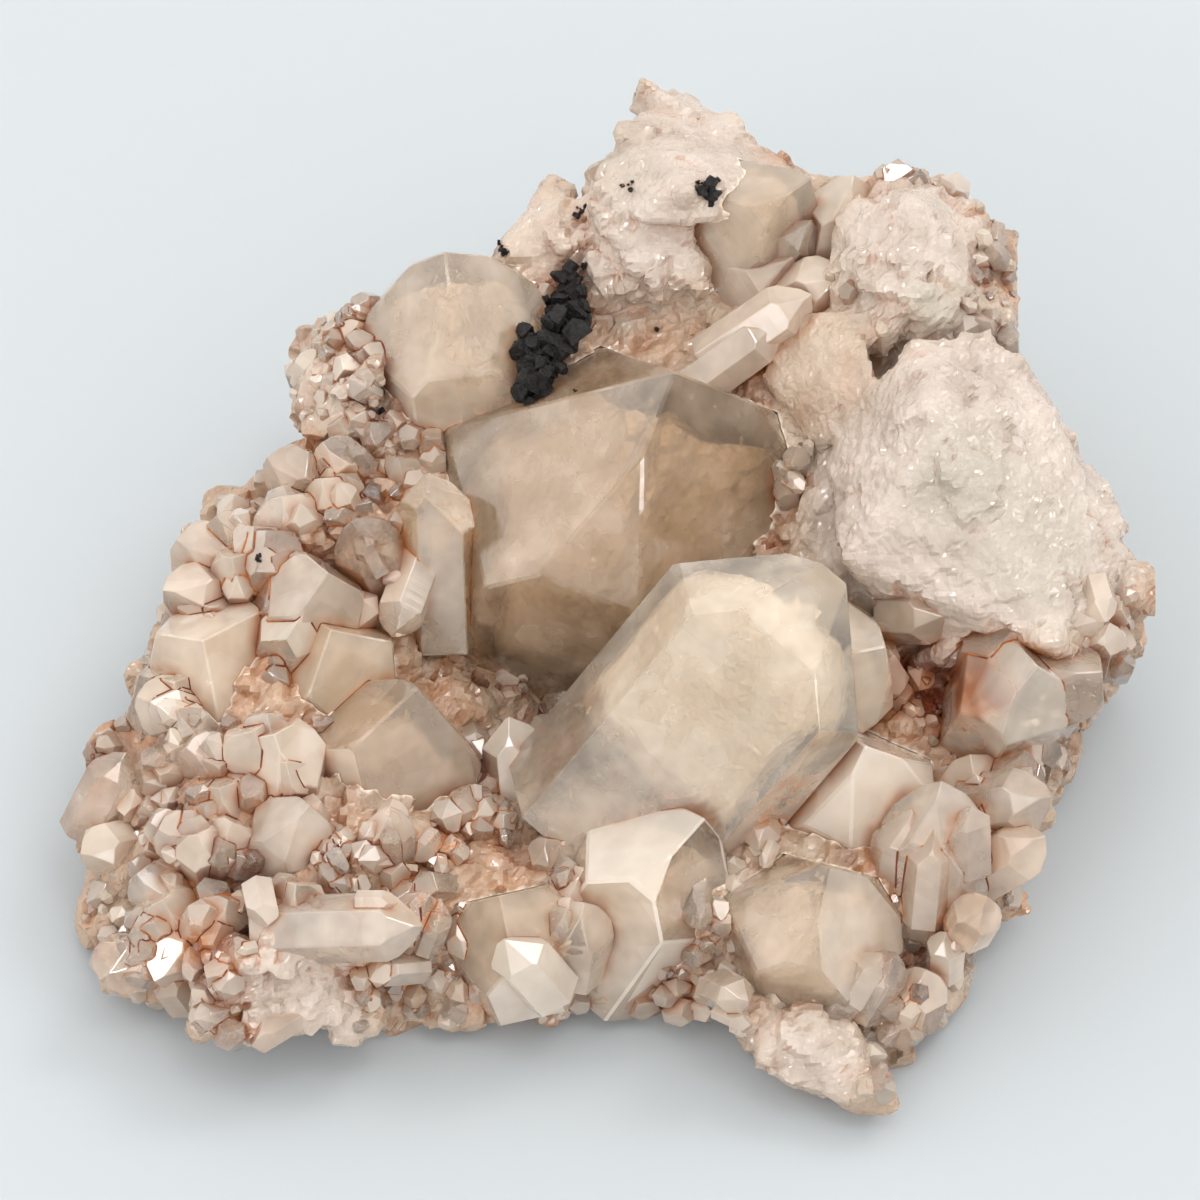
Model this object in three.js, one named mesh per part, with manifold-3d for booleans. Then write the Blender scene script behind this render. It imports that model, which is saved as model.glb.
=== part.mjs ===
// A cabinet specimen of pale citrine: quartz crystals of many sizes grown together on their own
// massive, broken quartz, with a little black iron ore between them. Millimetres, +Z up.
// The specimen lies on its flat broken underside, with the crystals standing up and forwards.
import * as THREE from "three";
import { ConvexGeometry } from "three/addons/geometries/ConvexGeometry.js";
import { mergeVertices } from "three/addons/utils/BufferGeometryUtils.js";
import Module from "manifold-3d";

const wasm = await Module();
wasm.setup();

// The face of the specimen is laid out as it is seen from the front, from above the table:
// across runs to the right and up runs up the seen face, both in millimetres from AIM.
const VIEW_ELEVATION = 50;
const VIEW_DISTANCE = 1200;
const AIM = new THREE.Vector3(0, -6, 22);
const RADIANS = Math.PI / 180;

// Quartz: every tip face leans this far from the crystal's long axis.
const TIP_FACE_LEAN = 51.8;
const ORE_GAP = 0.35; // between the ore and the pocket it sits in

const acrossAxis = new THREE.Vector3(1, 0, 0);
const upAxis = new THREE.Vector3(
  0,
  Math.sin(VIEW_ELEVATION * RADIANS),
  Math.cos(VIEW_ELEVATION * RADIANS),
);
const nearAxis = new THREE.Vector3().crossVectors(acrossAxis, upAxis);
const eye = AIM.clone().addScaledVector(nearAxis, VIEW_DISTANCE);

// The point that is seen at (across, up) and lies at that height over the table.
function seen(across, up, height) {
  const onPlane = AIM.clone().addScaledVector(acrossAxis, across).addScaledVector(upAxis, up);
  const share = (height - eye.z) / (onPlane.z - eye.z);
  return eye.clone().lerp(onPlane, share);
}

// Height of the rock over the table, where it is seen at (across, up): a blend of these spots.
const RELIEF = [
  // [across, up, height]
  [-45, -38, 7], [-25, -40, 6], [0, -40, 6], [22, -41, 5], [28, -48, 3], [36, -38, 8],
  [-52, -24, 10], [-40, -22, 15], [-25, -24, 16], [-14, -24, 11], [0, -28, 12], [14, -26, 15],
  [28, -26, 15], [40, -25, 14], [44, -18, 15],
  [-44, -6, 17], [-30, -8, 19], [-22, -14, 15], [-10, -8, 8], [-6, -13, 5], [-2, -6, 5], [10, -5, 14],
  [30, -6, 18], [35, -10, 12],
  [-42, 6, 20], [-30, 10, 24], [-16, 10, 22], [5, 12, 24], [25, 8, 27], [40, 0, 27], [50, 4, 24],
  [-28, 20, 25], [-16, 24, 29], [-3, 28, 27], [10, 28, 29], [22, 24, 30], [34, 20, 33], [42, 18, 32],
  [-10, 36, 32], [5, 44, 36], [16, 40, 35], [30, 40, 36], [40, 34, 34],
];
const RELIEF_SHARPNESS = 3.2;

function reliefHeight(across, up) {
  let sum = 0;
  let weights = 0;
  for (const [a, u, height] of RELIEF) {
    const weight = 1 / (Math.hypot(a - across, u - up) + 0.6) ** RELIEF_SHARPNESS;
    sum += weight * height;
    weights += weight;
  }
  return sum / weights;
}

// The rock's seen outline, anticlockwise from the right: [across, up, height of that edge].
const OUTLINE = [
  [52, 3, 19], [50.5, 11, 22], [45, 20, 26], [40, 27, 29], [39, 35, 30], [33, 41, 33], [25, 42, 34],
  [17, 43.5, 34], [8, 48.5, 36], [2, 45, 34], [-4, 39, 32], [-10, 35, 30], [-15, 32, 29], [-20, 28, 27],
  [-25, 24, 24], [-28.5, 16, 22], [-34, 12, 20], [-40, 8, 17], [-43.5, 0, 14], [-45, -8, 12],
  [-49, -15, 10], [-52, -23, 7], [-51, -30, 5], [-50, -39.4, 3], [-38, -41.2, 2.5], [-27, -42.4, 2.5],
  [-15, -42.6, 2.5], [-4, -40.8, 2.5], [8, -40.8, 2.5], [14, -42, 2.5], [18, -47, 2.5], [27, -49, 2.5],
  [28.5, -43, 3], [34, -41, 3.5], [38, -34, 5], [42, -27, 8], [45, -18, 11], [49, -9, 14], [51.5, -3, 17],
];
const OUTLINE_CENTRE = [0, -2];
const FOOT_REACH = 0.93; // the foot on the table is this much smaller than the outline over it
const FOOT_BACK = 44; // the foot's rear edge
const RINGS = [0, 0.17, 0.34, 0.5, 0.64, 0.77, 0.88, 0.96, 1];

// The crystals that can be told apart, each a row:
// [across, up, stands over the rock, radius, lean, toward, roll, length, tips, sides]
const EVEN = [1, 1, 1, 1, 1, 1];
const POINTED = [0, 0.14, 0, 0.22, 0, 0.18];
const CRYSTALS = [
  // the big smoky crystal in the middle
  [7.5, 22.9, 14, 17.1, 38, 69, 30, 52, [0, 0.175, 0, 0.234, 0, 0], [1, 1, 1.3, 1.2, 1, 1]],
  // the pale crystal in front of it
  [17.5, 3.2, 13, 10, 66, 50, 30, 34, [0.3, 0.69, 0.95, 0.6, 0, 0.1], [0.78, 1, 1.68, 1.3, 1, 0.6]],
  // the upper left crystal
  [-15.5, 34.9, 9, 8.8, 50, 98, 28, 28, POINTED, EVEN],
  // the honey prism below it and the bar that hangs beside it
  [-16.4, 12.5, 6, 3.6, 70, 92, 30, 18, [0.4, 0.6, 0, 0.2, 0, 0.2], [1, 1, 1.1, 1, 1, 1]],
  [-20.8, -3.7, 4, 2.2, 60, 250, 10, 10, POINTED, EVEN],
  // below the pale crystal
  [10, -21.5, 7, 7.6, 52, 55, 22, 22, [0, 0.3, 0.1, 0.2, 0, 0.1], [1, 1, 1.1, 1, 1, 1]],
  [26.6, -14.6, 8, 7, 32, 80, 12, 20, POINTED, [1, 1, 1, 1.1, 1, 1]],
  [23.5, -26.6, 7, 8.2, 40, 72, 35, 18, [0.1, 0.3, 0, 0.2, 0, 0.1], EVEN],
  [34.2, -18, 8, 4.8, 60, 84, 20, 16, POINTED, [1, 1, 1.2, 1, 1, 1]],
  [45.3, -19.6, 4, 3, 60, 10, 30, 10, POINTED, EVEN],
  [44.6, -23.6, 3, 2.8, 60, 30, 10, 9, POINTED, EVEN],
  [28.6, -4.6, 10, 6.6, 42, 24, 15, 22, POINTED, [1, 1, 1, 1, 1, 1.2]],
  // the left field
  [-39, -5, 5, 6.4, 18, 105, 25, 14, [0.1, 0.5, 0, 0.5, 0.2, 0.5], [1.1, 1, 1, 1.1, 1, 1]],
  [-26.6, -3.6, 5, 5.8, 30, 92, 5, 14, [0.1, 0.4, 0, 0.4, 0.1, 0.3], EVEN],
  [-32.6, -13.4, 5, 4.3, 30, 100, 40, 12, POINTED, EVEN],
  [-17.5, -9.5, 8, 8.6, 48, 62, 8, 24, [0.2, 0.5, 0.1, 0.3, 0, 0.2], EVEN],
  [-8.6, -11.8, 9, 3.1, 72, 96, 24, 13, [0.2, 0.4, 0, 0.2, 0, 0.2], EVEN],
  [-29, -20.4, 5, 4.2, 45, 62, 15, 12, POINTED, EVEN],
  [-21, -20.6, 5, 2.3, 60, 88, 25, 8, POINTED, EVEN],
  [-17.6, -32.6, 6, 3, 78, 2, 30, 17, POINTED, EVEN],
  [-17, -29.4, 5, 2.2, 50, 60, 30, 8, POINTED, EVEN],
  [-10.4, -29.6, 7, 6, 40, 112, 18, 13, [0, 0.3, 0.1, 0.3, 0, 0.2], EVEN],
  [-1.6, -26.8, 4, 2.5, 45, 70, 20, 8, POINTED, EVEN],
  [-1.6, -30.2, 5, 3.1, 45, 80, 30, 10, POINTED, EVEN],
  [-5.4, -23.9, 4, 1.9, 35, 100, 5, 7, POINTED, EVEN],
  // the lower right field
  [19.6, -38, 5, 2.2, 62, 46, 10, 6, POINTED, EVEN],
  [22.8, -37.8, 5, 2.3, 62, 50, 30, 6, POINTED, EVEN],
  [26, -37.6, 5, 2.2, 62, 48, 5, 6, POINTED, EVEN],
  [29.6, -35.2, 4, 2.2, 60, 60, 30, 8, POINTED, EVEN],
  [32.6, -36.9, 3, 2.6, 45, 76, 20, 6, POINTED, EVEN],
  [38.8, -29.7, 4, 2.3, 45, 60, 30, 6, POINTED, EVEN],
  [34.6, -33.2, 4, 1.7, 45, 90, 10, 6, POINTED, EVEN],
  // in and around the rusty hollow on the right
  [35.2, -10.2, 3, 2.8, 30, 150, 10, 9, POINTED, EVEN],
  [34, -6, 3, 1.8, 25, 200, 30, 7, POINTED, EVEN],
  [43, -7, 6, 5.4, 28, 60, 20, 14, [0.2, 0.5, 0.3, 0.5, 0.2, 0.4], [1, 1.1, 1, 1, 1.2, 1]],
  [43.4, -12, 4, 3, 35, 70, 40, 9, POINTED, EVEN],
  [49.4, -7.2, 4, 4, 40, 20, 10, 11, [0.2, 0.5, 0.3, 0.5, 0.2, 0.4], EVEN],
  [37, -15.4, 5, 3.8, 50, 100, 30, 11, POINTED, EVEN],
  [42.6, -15, 4, 2.7, 45, 60, 15, 8, POINTED, EVEN],
  // the top
  [21, 41.6, 4, 6, 60, 36, 30, 18, [0.2, 0.4, 0.1, 0.2, 0, 0.2], EVEN],
  [25.4, 42.6, 4, 3.6, 60, 78, 30, 13, POINTED, EVEN],
  [21.2, 30.6, 5, 2.7, 75, 34, 30, 13, POINTED, EVEN],
  [18, 27.5, 4, 2.3, 75, 36, 10, 12, POINTED, EVEN],
  // the upper left field
  [-27.4, 2.4, 6, 4.6, 34, 64, 20, 12, [0.1, 0.4, 0.1, 0.4, 0.1, 0.4], EVEN],
  [-33.4, 7, 4, 3, 40, 100, 15, 9, POINTED, EVEN],
  [-38.4, 8.4, 3, 2.2, 40, 120, 40, 7, POINTED, EVEN],
  [-42.4, 6, 2.5, 3.2, 42, 150, 20, 8, POINTED, EVEN],
  [-43.8, 1, 2, 3, 50, 170, 35, 8, POINTED, EVEN],
  [-36.8, 4.2, 4, 2.8, 25, 120, 5, 8, POINTED, EVEN],
  [-24.8, 8, 4, 3.1, 50, 118, 30, 9, POINTED, EVEN],
  [-31.8, 10.4, 3, 3.4, 40, 105, 25, 9, POINTED, EVEN],
  [-33.4, 14.2, 3, 2.6, 50, 150, 5, 8, POINTED, EVEN],
  [-27.8, 15.8, 3, 2.4, 45, 130, 25, 8, POINTED, EVEN],
  [-27.8, 12.2, 3, 2.2, 40, 110, 10, 7, POINTED, EVEN],
  // the lower left field
  [-41.4, -14.8, 3.5, 2.4, 30, 150, 20, 7, POINTED, EVEN],
  [-42.2, -11, 3, 1.9, 40, 130, 5, 6, POINTED, EVEN],
  [-46.4, -9.6, 2, 2.9, 50, 160, 25, 8, POINTED, EVEN],
  [-38, -18.8, 4, 2.8, 25, 100, 30, 8, POINTED, EVEN],
  [-36.8, -22.2, 4, 2.6, 35, 80, 10, 8, POINTED, EVEN],
  [-44.2, -23, 3.5, 2.4, 35, 160, 20, 7, POINTED, EVEN],
  [-40.2, -23.4, 4, 2.4, 30, 100, 40, 7, POINTED, EVEN],
  [-46.4, -27.4, 3, 2.5, 40, 140, 15, 7, POINTED, EVEN],
  [-43.8, -30, 4, 3, 30, 120, 35, 8, POINTED, EVEN],
  [-44.8, -34.2, 4, 3.1, 35, 130, 10, 8, POINTED, EVEN],
  [-49, -36.4, 3, 2.3, 50, 190, 25, 6, POINTED, EVEN],
  [-44.6, -38.2, 3, 2.8, 50, 230, 5, 7, POINTED, EVEN],
  [-30.4, -28.4, 5, 2.8, 35, 90, 20, 8, POINTED, EVEN],
  [-37.2, -30, 4.5, 2.4, 30, 70, 35, 7, POINTED, EVEN],
  [-47.4, -15.2, 2, 2.4, 70, 62, 30, 10, POINTED, EVEN],
  [-52, -25.4, 2, 2.4, 45, 190, 10, 6, POINTED, EVEN],
  [-50, -38, 2.5, 2.7, 35, 215, 30, 6, POINTED, EVEN],
  [28.8, -45.6, 1.8, 1.2, 72, 355, 10, 6, POINTED, EVEN],
];

// The broken lumps of massive quartz, each a list of its seen corners: [across, up, stands].
const LUMPS = [
  // the white block on the right
  [
    [23, 14, 2], [27.5, 21, 5], [31.4, 26.1, 6], [35.5, 26.6, 5], [42, 23, 3], [45.5, 18, 2], [50, 10, 1],
    [53.7, 2.6, 0], [52, -7, 0], [45, -4, 3], [36, -4.6, 3], [30.5, -3, 2], [24.5, 4, 3], [47, 3, 5],
    [33, 18, 7],
  ],
  // the ridged block above it
  [
    [23, 25.5, 1], [23.5, 38, 3], [28, 42, 2], [32.5, 42.2, 2], [36, 37.2, 1], [40, 36, 0], [40, 30, 1],
    [40.3, 27, 0], [31.6, 39, 6], [30.2, 28.5, 7], [35.7, 27.5, 3], [27, 30, 4],
  ],
  // the peach block beside the big crystal
  [
    [19, 28, 3], [21.9, 29, 5], [25.8, 29.5, 5], [26.8, 24.6, 6], [27.5, 21, 5], [25.3, 15.4, 3],
    [21.4, 15.9, 1], [16.1, 22.2, 1],
  ],
  // the top peak and the sparkling patch under it
  [
    [0, 41, 2], [4, 48.3, 2], [7.2, 50.4, 1], [13.5, 45, 1], [17, 45, 0], [20, 42.6, 1], [8, 42, 6],
    [12, 38, 4], [4, 38, 5],
  ],
  [[-2, 40.6, 3], [9, 41, 5], [9, 31, 2], [-1, 30.5, 2], [3, 36, 5]],
  // left of the top
  [[-12.5, 32, 0], [-9.5, 35.2, 0], [-5.6, 41.2, 0], [-2, 40.6, 1], [0, 36, 2], [-3, 31, 2], [-9, 29.5, 1]],
  // left of the upper left crystal
  [
    [-29.8, 23, 0], [-27.8, 26.6, 0], [-23.8, 28, 1], [-22, 24, 3], [-23, 16, 1], [-29.6, 16.6, 0],
    [-26, 21, 4],
  ],
  // the grey piece at the lower left
  [
    [-40.6, -34, 3], [-36, -37.2, 4], [-40, -42.6, 1], [-22.4, -42.8, 1], [-22.2, -34, 3], [-36, -34, 4],
    [-30, -36.4, 6],
  ],
  // the lowest piece
  [
    [13.9, -40.3, 2], [14.4, -42.6, 1], [16, -46.4, 0.5], [19.2, -49, 0.5], [24.8, -50.5, 0.5],
    [27.6, -50.6, 0.5], [27.2, -47, 1], [25.2, -42.7, 3], [21, -44, 4],
  ],
];
const LUMP_TAPER = 0.3; // a lump's root is this much narrower than its seen face
const LUMP_DEPTH = 9; // and lies this far behind it

// The black ore: a clump of grains and one grain alone, each row [across, up, stands, radius].
const ORE_CLUMP = [
  [-3.3, 32.2, 4, 1.6], [-3.9, 30, 4.2, 1.8], [-3.2, 28, 4.5, 1.9], [-4, 26, 5, 2], [-7, 25.2, 5, 1.7],
  [-5.4, 23.8, 5, 2], [-7.2, 21.8, 5.5, 1.8],
];
const ORE_GRAIN = [[10.8, 40.8, 5.5, 1.4]];

// Small crystals that fill the rock between the others.
const SMALL_SEED = 41;
const SMALL_COUNT = 28;
const FLANK_COUNT = 17;
const BLOCK_COUNT = 16;

function indexedGeometry(points, faces) {
  const positions = new Float32Array(points.flatMap((p) => [p.x, p.y, p.z]));
  const geometry = new THREE.BufferGeometry();
  geometry.setAttribute("position", new THREE.BufferAttribute(positions, 3));
  geometry.setIndex(faces.flat());
  return geometry;
}

// The corner of the foot below a corner of the outline.
function footCorner(row) {
  const edge = seen(...row);
  return new THREE.Vector3(edge.x * FOOT_REACH, Math.min(edge.y * FOOT_REACH, FOOT_BACK), 0);
}

// The massive rock: its relief, a flank below the outline, and a flat foot.
function rockGeometry() {
  const n = OUTLINE.length;
  const [midAcross, midUp] = OUTLINE_CENTRE;
  const points = [seen(midAcross, midUp, reliefHeight(midAcross, midUp))];
  for (const ring of RINGS.slice(1)) {
    for (const [a, u, edgeHeight] of OUTLINE) {
      const across = midAcross + (a - midAcross) * ring;
      const up = midUp + (u - midUp) * ring;
      const inside = reliefHeight(across, up);
      const rim = Math.max(0, (ring - 0.8) / 0.2) ** 1.5;
      points.push(seen(across, up, inside * (1 - rim) + edgeHeight * rim));
    }
  }
  points.push(...OUTLINE.map(footCorner));
  const faces = [];
  const ringStart = (r) => 1 + r * n;
  for (let i = 0; i < n; i++) {
    const j = (i + 1) % n;
    faces.push([0, ringStart(0) + i, ringStart(0) + j]);
    for (let r = 0; r + 1 < RINGS.length; r++) {
      const [a, b] = [ringStart(r) + i, ringStart(r) + j];
      const [c, d] = [ringStart(r + 1) + i, ringStart(r + 1) + j];
      faces.push([a, c, d], [a, d, b]);
    }
  }
  const foot = points.length;
  points.push(new THREE.Vector3(0, 0, 0));
  const last = ringStart(RINGS.length - 1);
  for (let i = 0; i < n; i++) faces.push([foot, last + ((i + 1) % n), last + i]);
  return indexedGeometry(points, faces);
}

// The corners of the solid that all these planes bound: each plane is {normal, distance}.
function cornersOf(planes) {
  const corners = [];
  const normals = planes.map((p) => p.normal);
  for (let i = 0; i < planes.length; i++)
    for (let j = i + 1; j < planes.length; j++)
      for (let k = j + 1; k < planes.length; k++) {
        const rows = new THREE.Matrix3().set(...normals[i], ...normals[j], ...normals[k]);
        if (Math.abs(rows.determinant()) < 1e-4) continue;
        const distances = new THREE.Vector3(planes[i].distance, planes[j].distance, planes[k].distance);
        const corner = distances.applyMatrix3(rows.invert());
        if (planes.every((p) => p.normal.dot(corner) < p.distance + 1e-5)) corners.push(corner);
      }
  return corners;
}

// A quartz crystal: a six-sided prism under six tip faces.
// tip: its point. radius: from the axis to each side. lean and toward: how far the axis leans from
// the eye, and which way over the seen face (0 is right, 90 is up). roll turns it about its axis.
// tips and sides: how far each tip face stands off the point, and each side off the axis, in radii.
function crystalGeometry({ tip, radius, lean, toward, roll, length, tips, sides }) {
  const axis = new THREE.Vector3()
    .addScaledVector(acrossAxis, Math.sin(lean * RADIANS) * Math.cos(toward * RADIANS))
    .addScaledVector(upAxis, Math.sin(lean * RADIANS) * Math.sin(toward * RADIANS))
    .addScaledVector(nearAxis, Math.cos(lean * RADIANS));
  const level = new THREE.Vector3()
    .addScaledVector(acrossAxis, -Math.sin(toward * RADIANS))
    .addScaledVector(upAxis, Math.cos(toward * RADIANS));
  const third = new THREE.Vector3().crossVectors(axis, level);
  const planes = [{ normal: axis.clone().negate(), distance: length }];
  for (let i = 0; i < 6; i++) {
    const angle = (roll + 60 * i) * RADIANS;
    const side = new THREE.Vector3()
      .addScaledVector(level, Math.cos(angle))
      .addScaledVector(third, Math.sin(angle));
    const slope = new THREE.Vector3()
      .addScaledVector(side, Math.sin(TIP_FACE_LEAN * RADIANS))
      .addScaledVector(axis, Math.cos(TIP_FACE_LEAN * RADIANS));
    planes.push({ normal: side, distance: radius * sides[i] });
    planes.push({ normal: slope, distance: radius * tips[i] });
  }
  return new ConvexGeometry(cornersOf(planes).map((corner) => corner.add(tip)));
}

// A broken lump with flat faces: the hull of these seen points and of their copies further in.
function lumpGeometry(points) {
  const middle = new THREE.Vector3();
  const top = points.map(([a, u, stands]) => seen(a, u, reliefHeight(a, u) + stands));
  for (const point of top) middle.addScaledVector(point, 1 / top.length);
  const root = top.map((point) => point.clone().lerp(middle, LUMP_TAPER));
  for (const point of root) point.addScaledVector(nearAxis, -LUMP_DEPTH);
  return new ConvexGeometry([...top, ...root]);
}

// A rough round grain of ore.
function grainGeometry([across, up, stands, radius], grown, next) {
  const centre = seen(across, up, reliefHeight(across, up) + stands);
  const ball = new THREE.IcosahedronGeometry(1, 0).deleteAttribute("normal").deleteAttribute("uv");
  const places = mergeVertices(ball).getAttribute("position");
  const corners = [];
  for (let i = 0; i < places.count; i++) {
    const reach = radius * (0.8 + 0.55 * next()) + grown;
    corners.push(new THREE.Vector3().fromBufferAttribute(places, i).multiplyScalar(reach).add(centre));
  }
  return new ConvexGeometry(corners);
}

// A closed geometry as a solid that can be joined and cut.
function solid(geometry) {
  const bare = new THREE.BufferGeometry();
  bare.setAttribute("position", geometry.getAttribute("position"));
  if (geometry.index) bare.setIndex(geometry.index);
  const merged = mergeVertices(bare, 1e-4);
  return new wasm.Manifold(
    new wasm.Mesh({
      numProp: 3,
      vertProperties: merged.attributes.position.array,
      triVerts: new Uint32Array(merged.index.array),
    }),
  );
}

function joined(solids) {
  return solids.reduce((sum, one) => sum.add(one));
}

// Fills the hollows that are closed in on all sides: they are what a block around it leaves loose.
function withoutHollows(made) {
  const block = solid(new THREE.BoxGeometry(400, 400, 400));
  const loose = block.subtract(made).decompose();
  const largest = Math.max(...loose.map((one) => one.volume()));
  return joined([made, ...loose.filter((one) => one.volume() < largest)]);
}

// The same numbers from 0 to 1 in the same order each time.
function sequence(seed) {
  let state = seed;
  return () => {
    state = (state * 16807) % 2147483647;
    return state / 2147483647;
  };
}

function crystalFrom([across, up, stands, radius, lean, toward, roll, length, tips, sides]) {
  const tip = seen(across, up, reliefHeight(across, up) + stands);
  return crystalGeometry({ tip, radius, lean, toward, roll, length, tips, sides });
}

// Whether a spot of the seen face lies inside the outline, drawn in by that share.
function withinOutline(across, up, share) {
  const [midAcross, midUp] = OUTLINE_CENTRE;
  const [x, y] = [midAcross + (across - midAcross) / share, midUp + (up - midUp) / share];
  let inside = false;
  for (let i = 0, j = OUTLINE.length - 1; i < OUTLINE.length; j = i++) {
    const [xi, yi] = OUTLINE[i];
    const [xj, yj] = OUTLINE[j];
    if (yi > y !== yj > y && x < ((xj - xi) * (y - yi)) / (yj - yi) + xi) inside = !inside;
  }
  return inside;
}

// How far a spot of the seen face is from the upper part of a crystal's axis.
function offTheSeenAxis(across, up, [a, u, , , lean, toward, , length]) {
  const seenLength = 0.6 * length * Math.sin(lean * RADIANS);
  const [x, y] = [-Math.cos(toward * RADIANS), -Math.sin(toward * RADIANS)];
  const along = (across - a) * x + (up - u) * y;
  const nearest = Math.min(Math.max(along, 0), seenLength);
  return Math.hypot(across - a - x * nearest, up - u - y * nearest);
}

function smallCrystals() {
  const next = sequence(SMALL_SEED);
  const made = [];
  while (made.length < SMALL_COUNT) {
    const across = -54 + 108 * next();
    const up = -50 + 100 * next();
    const [size, leaning, turn, roll] = [next(), next(), next(), next()];
    if (!withinOutline(across, up, 0.9)) continue;
    if (CRYSTALS.some((row) => offTheSeenAxis(across, up, row) < row[3] * 0.9)) continue;
    const radius = 1.3 + 2 * size ** 2;
    const outward = Math.atan2(up + 2, across) / RADIANS;
    const stands = radius * 1.2 - 0.4;
    const toward = outward + 120 * (turn - 0.5);
    const lean = 15 + 45 * leaning;
    made.push([across, up, stands, radius, lean, toward, 60 * roll, 3 * radius, POINTED, EVEN]);
  }
  return made.map(crystalFrom);
}

// A place on the flank. round: from 0 to 1 along the outline. down: from 0 at the rim to 1 at the foot.
function flankPlace(round, down) {
  const along = round * OUTLINE.length;
  const [from, to] = [Math.floor(along) % OUTLINE.length, (Math.floor(along) + 1) % OUTLINE.length];
  const share = along - Math.floor(along);
  const rim = seen(...OUTLINE[from]).lerp(seen(...OUTLINE[to]), share);
  const foot = footCorner(OUTLINE[from]).lerp(footCorner(OUTLINE[to]), share);
  return { place: rim.clone().lerp(foot, down), out: new THREE.Vector3(rim.x, rim.y, 0).normalize(), rim };
}

// A broken block of rock: a box with tilted faces and four corners struck off.
function blockGeometry(place, out, size, next) {
  const side = new THREE.Vector3(-out.y, out.x, 0);
  const rise = new THREE.Vector3().crossVectors(out, side);
  const axes = [out, side, rise];
  const half = [0.6 * size, size * (0.7 + 0.5 * next()), size * (0.5 + 0.4 * next())];
  const planes = [];
  for (let i = 0; i < 3; i++)
    for (const sign of [1, -1]) {
      const normal = axes[i].clone().multiplyScalar(sign);
      for (const other of [1, 2]) normal.addScaledVector(axes[(i + other) % 3], 0.7 * (next() - 0.5));
      planes.push({ normal: normal.normalize(), distance: half[i] * (0.8 + 0.3 * next()) });
    }
  for (let i = 0; i < 4; i++) {
    const signs = axes.map(() => (next() < 0.5 ? 1 : -1));
    const normal = new THREE.Vector3();
    axes.forEach((axis, k) => normal.addScaledVector(axis, signs[k]));
    const reach = (half[0] + half[1] + half[2]) / Math.sqrt(3);
    planes.push({ normal: normal.normalize(), distance: reach * (0.65 + 0.2 * next()) });
  }
  return new ConvexGeometry(cornersOf(planes).map((corner) => corner.add(place)));
}

function flankBlocks() {
  const next = sequence(SMALL_SEED + 3);
  const made = [];
  for (let i = 0; i < BLOCK_COUNT; i++) {
    const { place, out, rim } = flankPlace((i + next()) / BLOCK_COUNT, 0.25 + 0.6 * next());
    const size = Math.min(3.5 + 4 * next(), rim.z * 0.28 + 0.8);
    made.push(blockGeometry(place.addScaledVector(out, -0.25 * size), out, size, next));
  }
  return made;
}

// Small crystals on the flank, all round, pointing away from the rock.
function flankCrystals() {
  const next = sequence(SMALL_SEED + 1);
  const made = [];
  for (let i = 0; i < FLANK_COUNT; i++) {
    const { place, out, rim } = flankPlace((i + next()) / FLANK_COUNT, 0.1 + 0.75 * next());
    const radius = Math.min(1.6 + 2.6 * next(), rim.z * 0.15 + 0.8);
    const proud = out.y > 0 ? 1.3 : 0.6;
    const tip = place.addScaledVector(out, radius * proud);
    const axis = out.clone().setZ(0.5 * (next() - 0.2)).normalize();
    const [a, u, n] = [acrossAxis, upAxis, nearAxis].map((one) => one.dot(axis));
    const lean = Math.acos(n) / RADIANS;
    const toward = Math.atan2(u, a) / RADIANS;
    const roll = 60 * next();
    made.push({ tip, radius, lean, toward, roll, length: 3 * radius, tips: POINTED, sides: EVEN });
  }
  return made.map(crystalGeometry);
}

function oreSolid(rows, grown) {
  const next = sequence(SMALL_SEED + 2);
  return joined(rows.map((row) => solid(grainGeometry(row, grown, next))));
}

function meshOf(name, made, material) {
  const { numProp, vertProperties, triVerts } = made.getMesh();
  const geometry = new THREE.BufferGeometry();
  geometry.setAttribute("position", new THREE.BufferAttribute(Float32Array.from(vertProperties), numProp));
  geometry.setIndex(new THREE.BufferAttribute(Uint32Array.from(triVerts), 1));
  geometry.computeVertexNormals();
  const mesh = new THREE.Mesh(geometry, material);
  mesh.name = name;
  return mesh;
}

const underTable = new THREE.BoxGeometry(300, 300, 60).translate(0, 0, -30);
const grown = [
  rockGeometry(),
  ...LUMPS.map(lumpGeometry),
  ...CRYSTALS.map(crystalFrom),
  ...smallCrystals(),
  ...flankBlocks(),
  ...flankCrystals(),
];
const clump = oreSolid(ORE_CLUMP, 0);
const grain = oreSolid(ORE_GRAIN, 0);
const quartz = withoutHollows(joined(grown.map(solid)).subtract(solid(underTable)))
  .subtract(oreSolid(ORE_CLUMP, ORE_GAP))
  .subtract(oreSolid(ORE_GRAIN, ORE_GAP));

const citrine = new THREE.MeshStandardMaterial({ color: 0xd9c3ac, roughness: 0.25, metalness: 0 });
const blackOre = new THREE.MeshStandardMaterial({ color: 0x232326, roughness: 0.6, metalness: 0 });

const specimen = new THREE.Group();
specimen.add(meshOf("quartz_cluster", quartz, citrine));
specimen.add(meshOf("black_ore_clump", clump, blackOre));
specimen.add(meshOf("black_ore_grain", grain, blackOre.clone()));
export default specimen;
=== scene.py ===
# The looks of a citrine specimen: clear and milky quartz crystals on broken massive quartz.
import math

import bmesh
import bpy
import numpy as np
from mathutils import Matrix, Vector, noise
from mathutils.kdtree import KDTree


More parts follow.
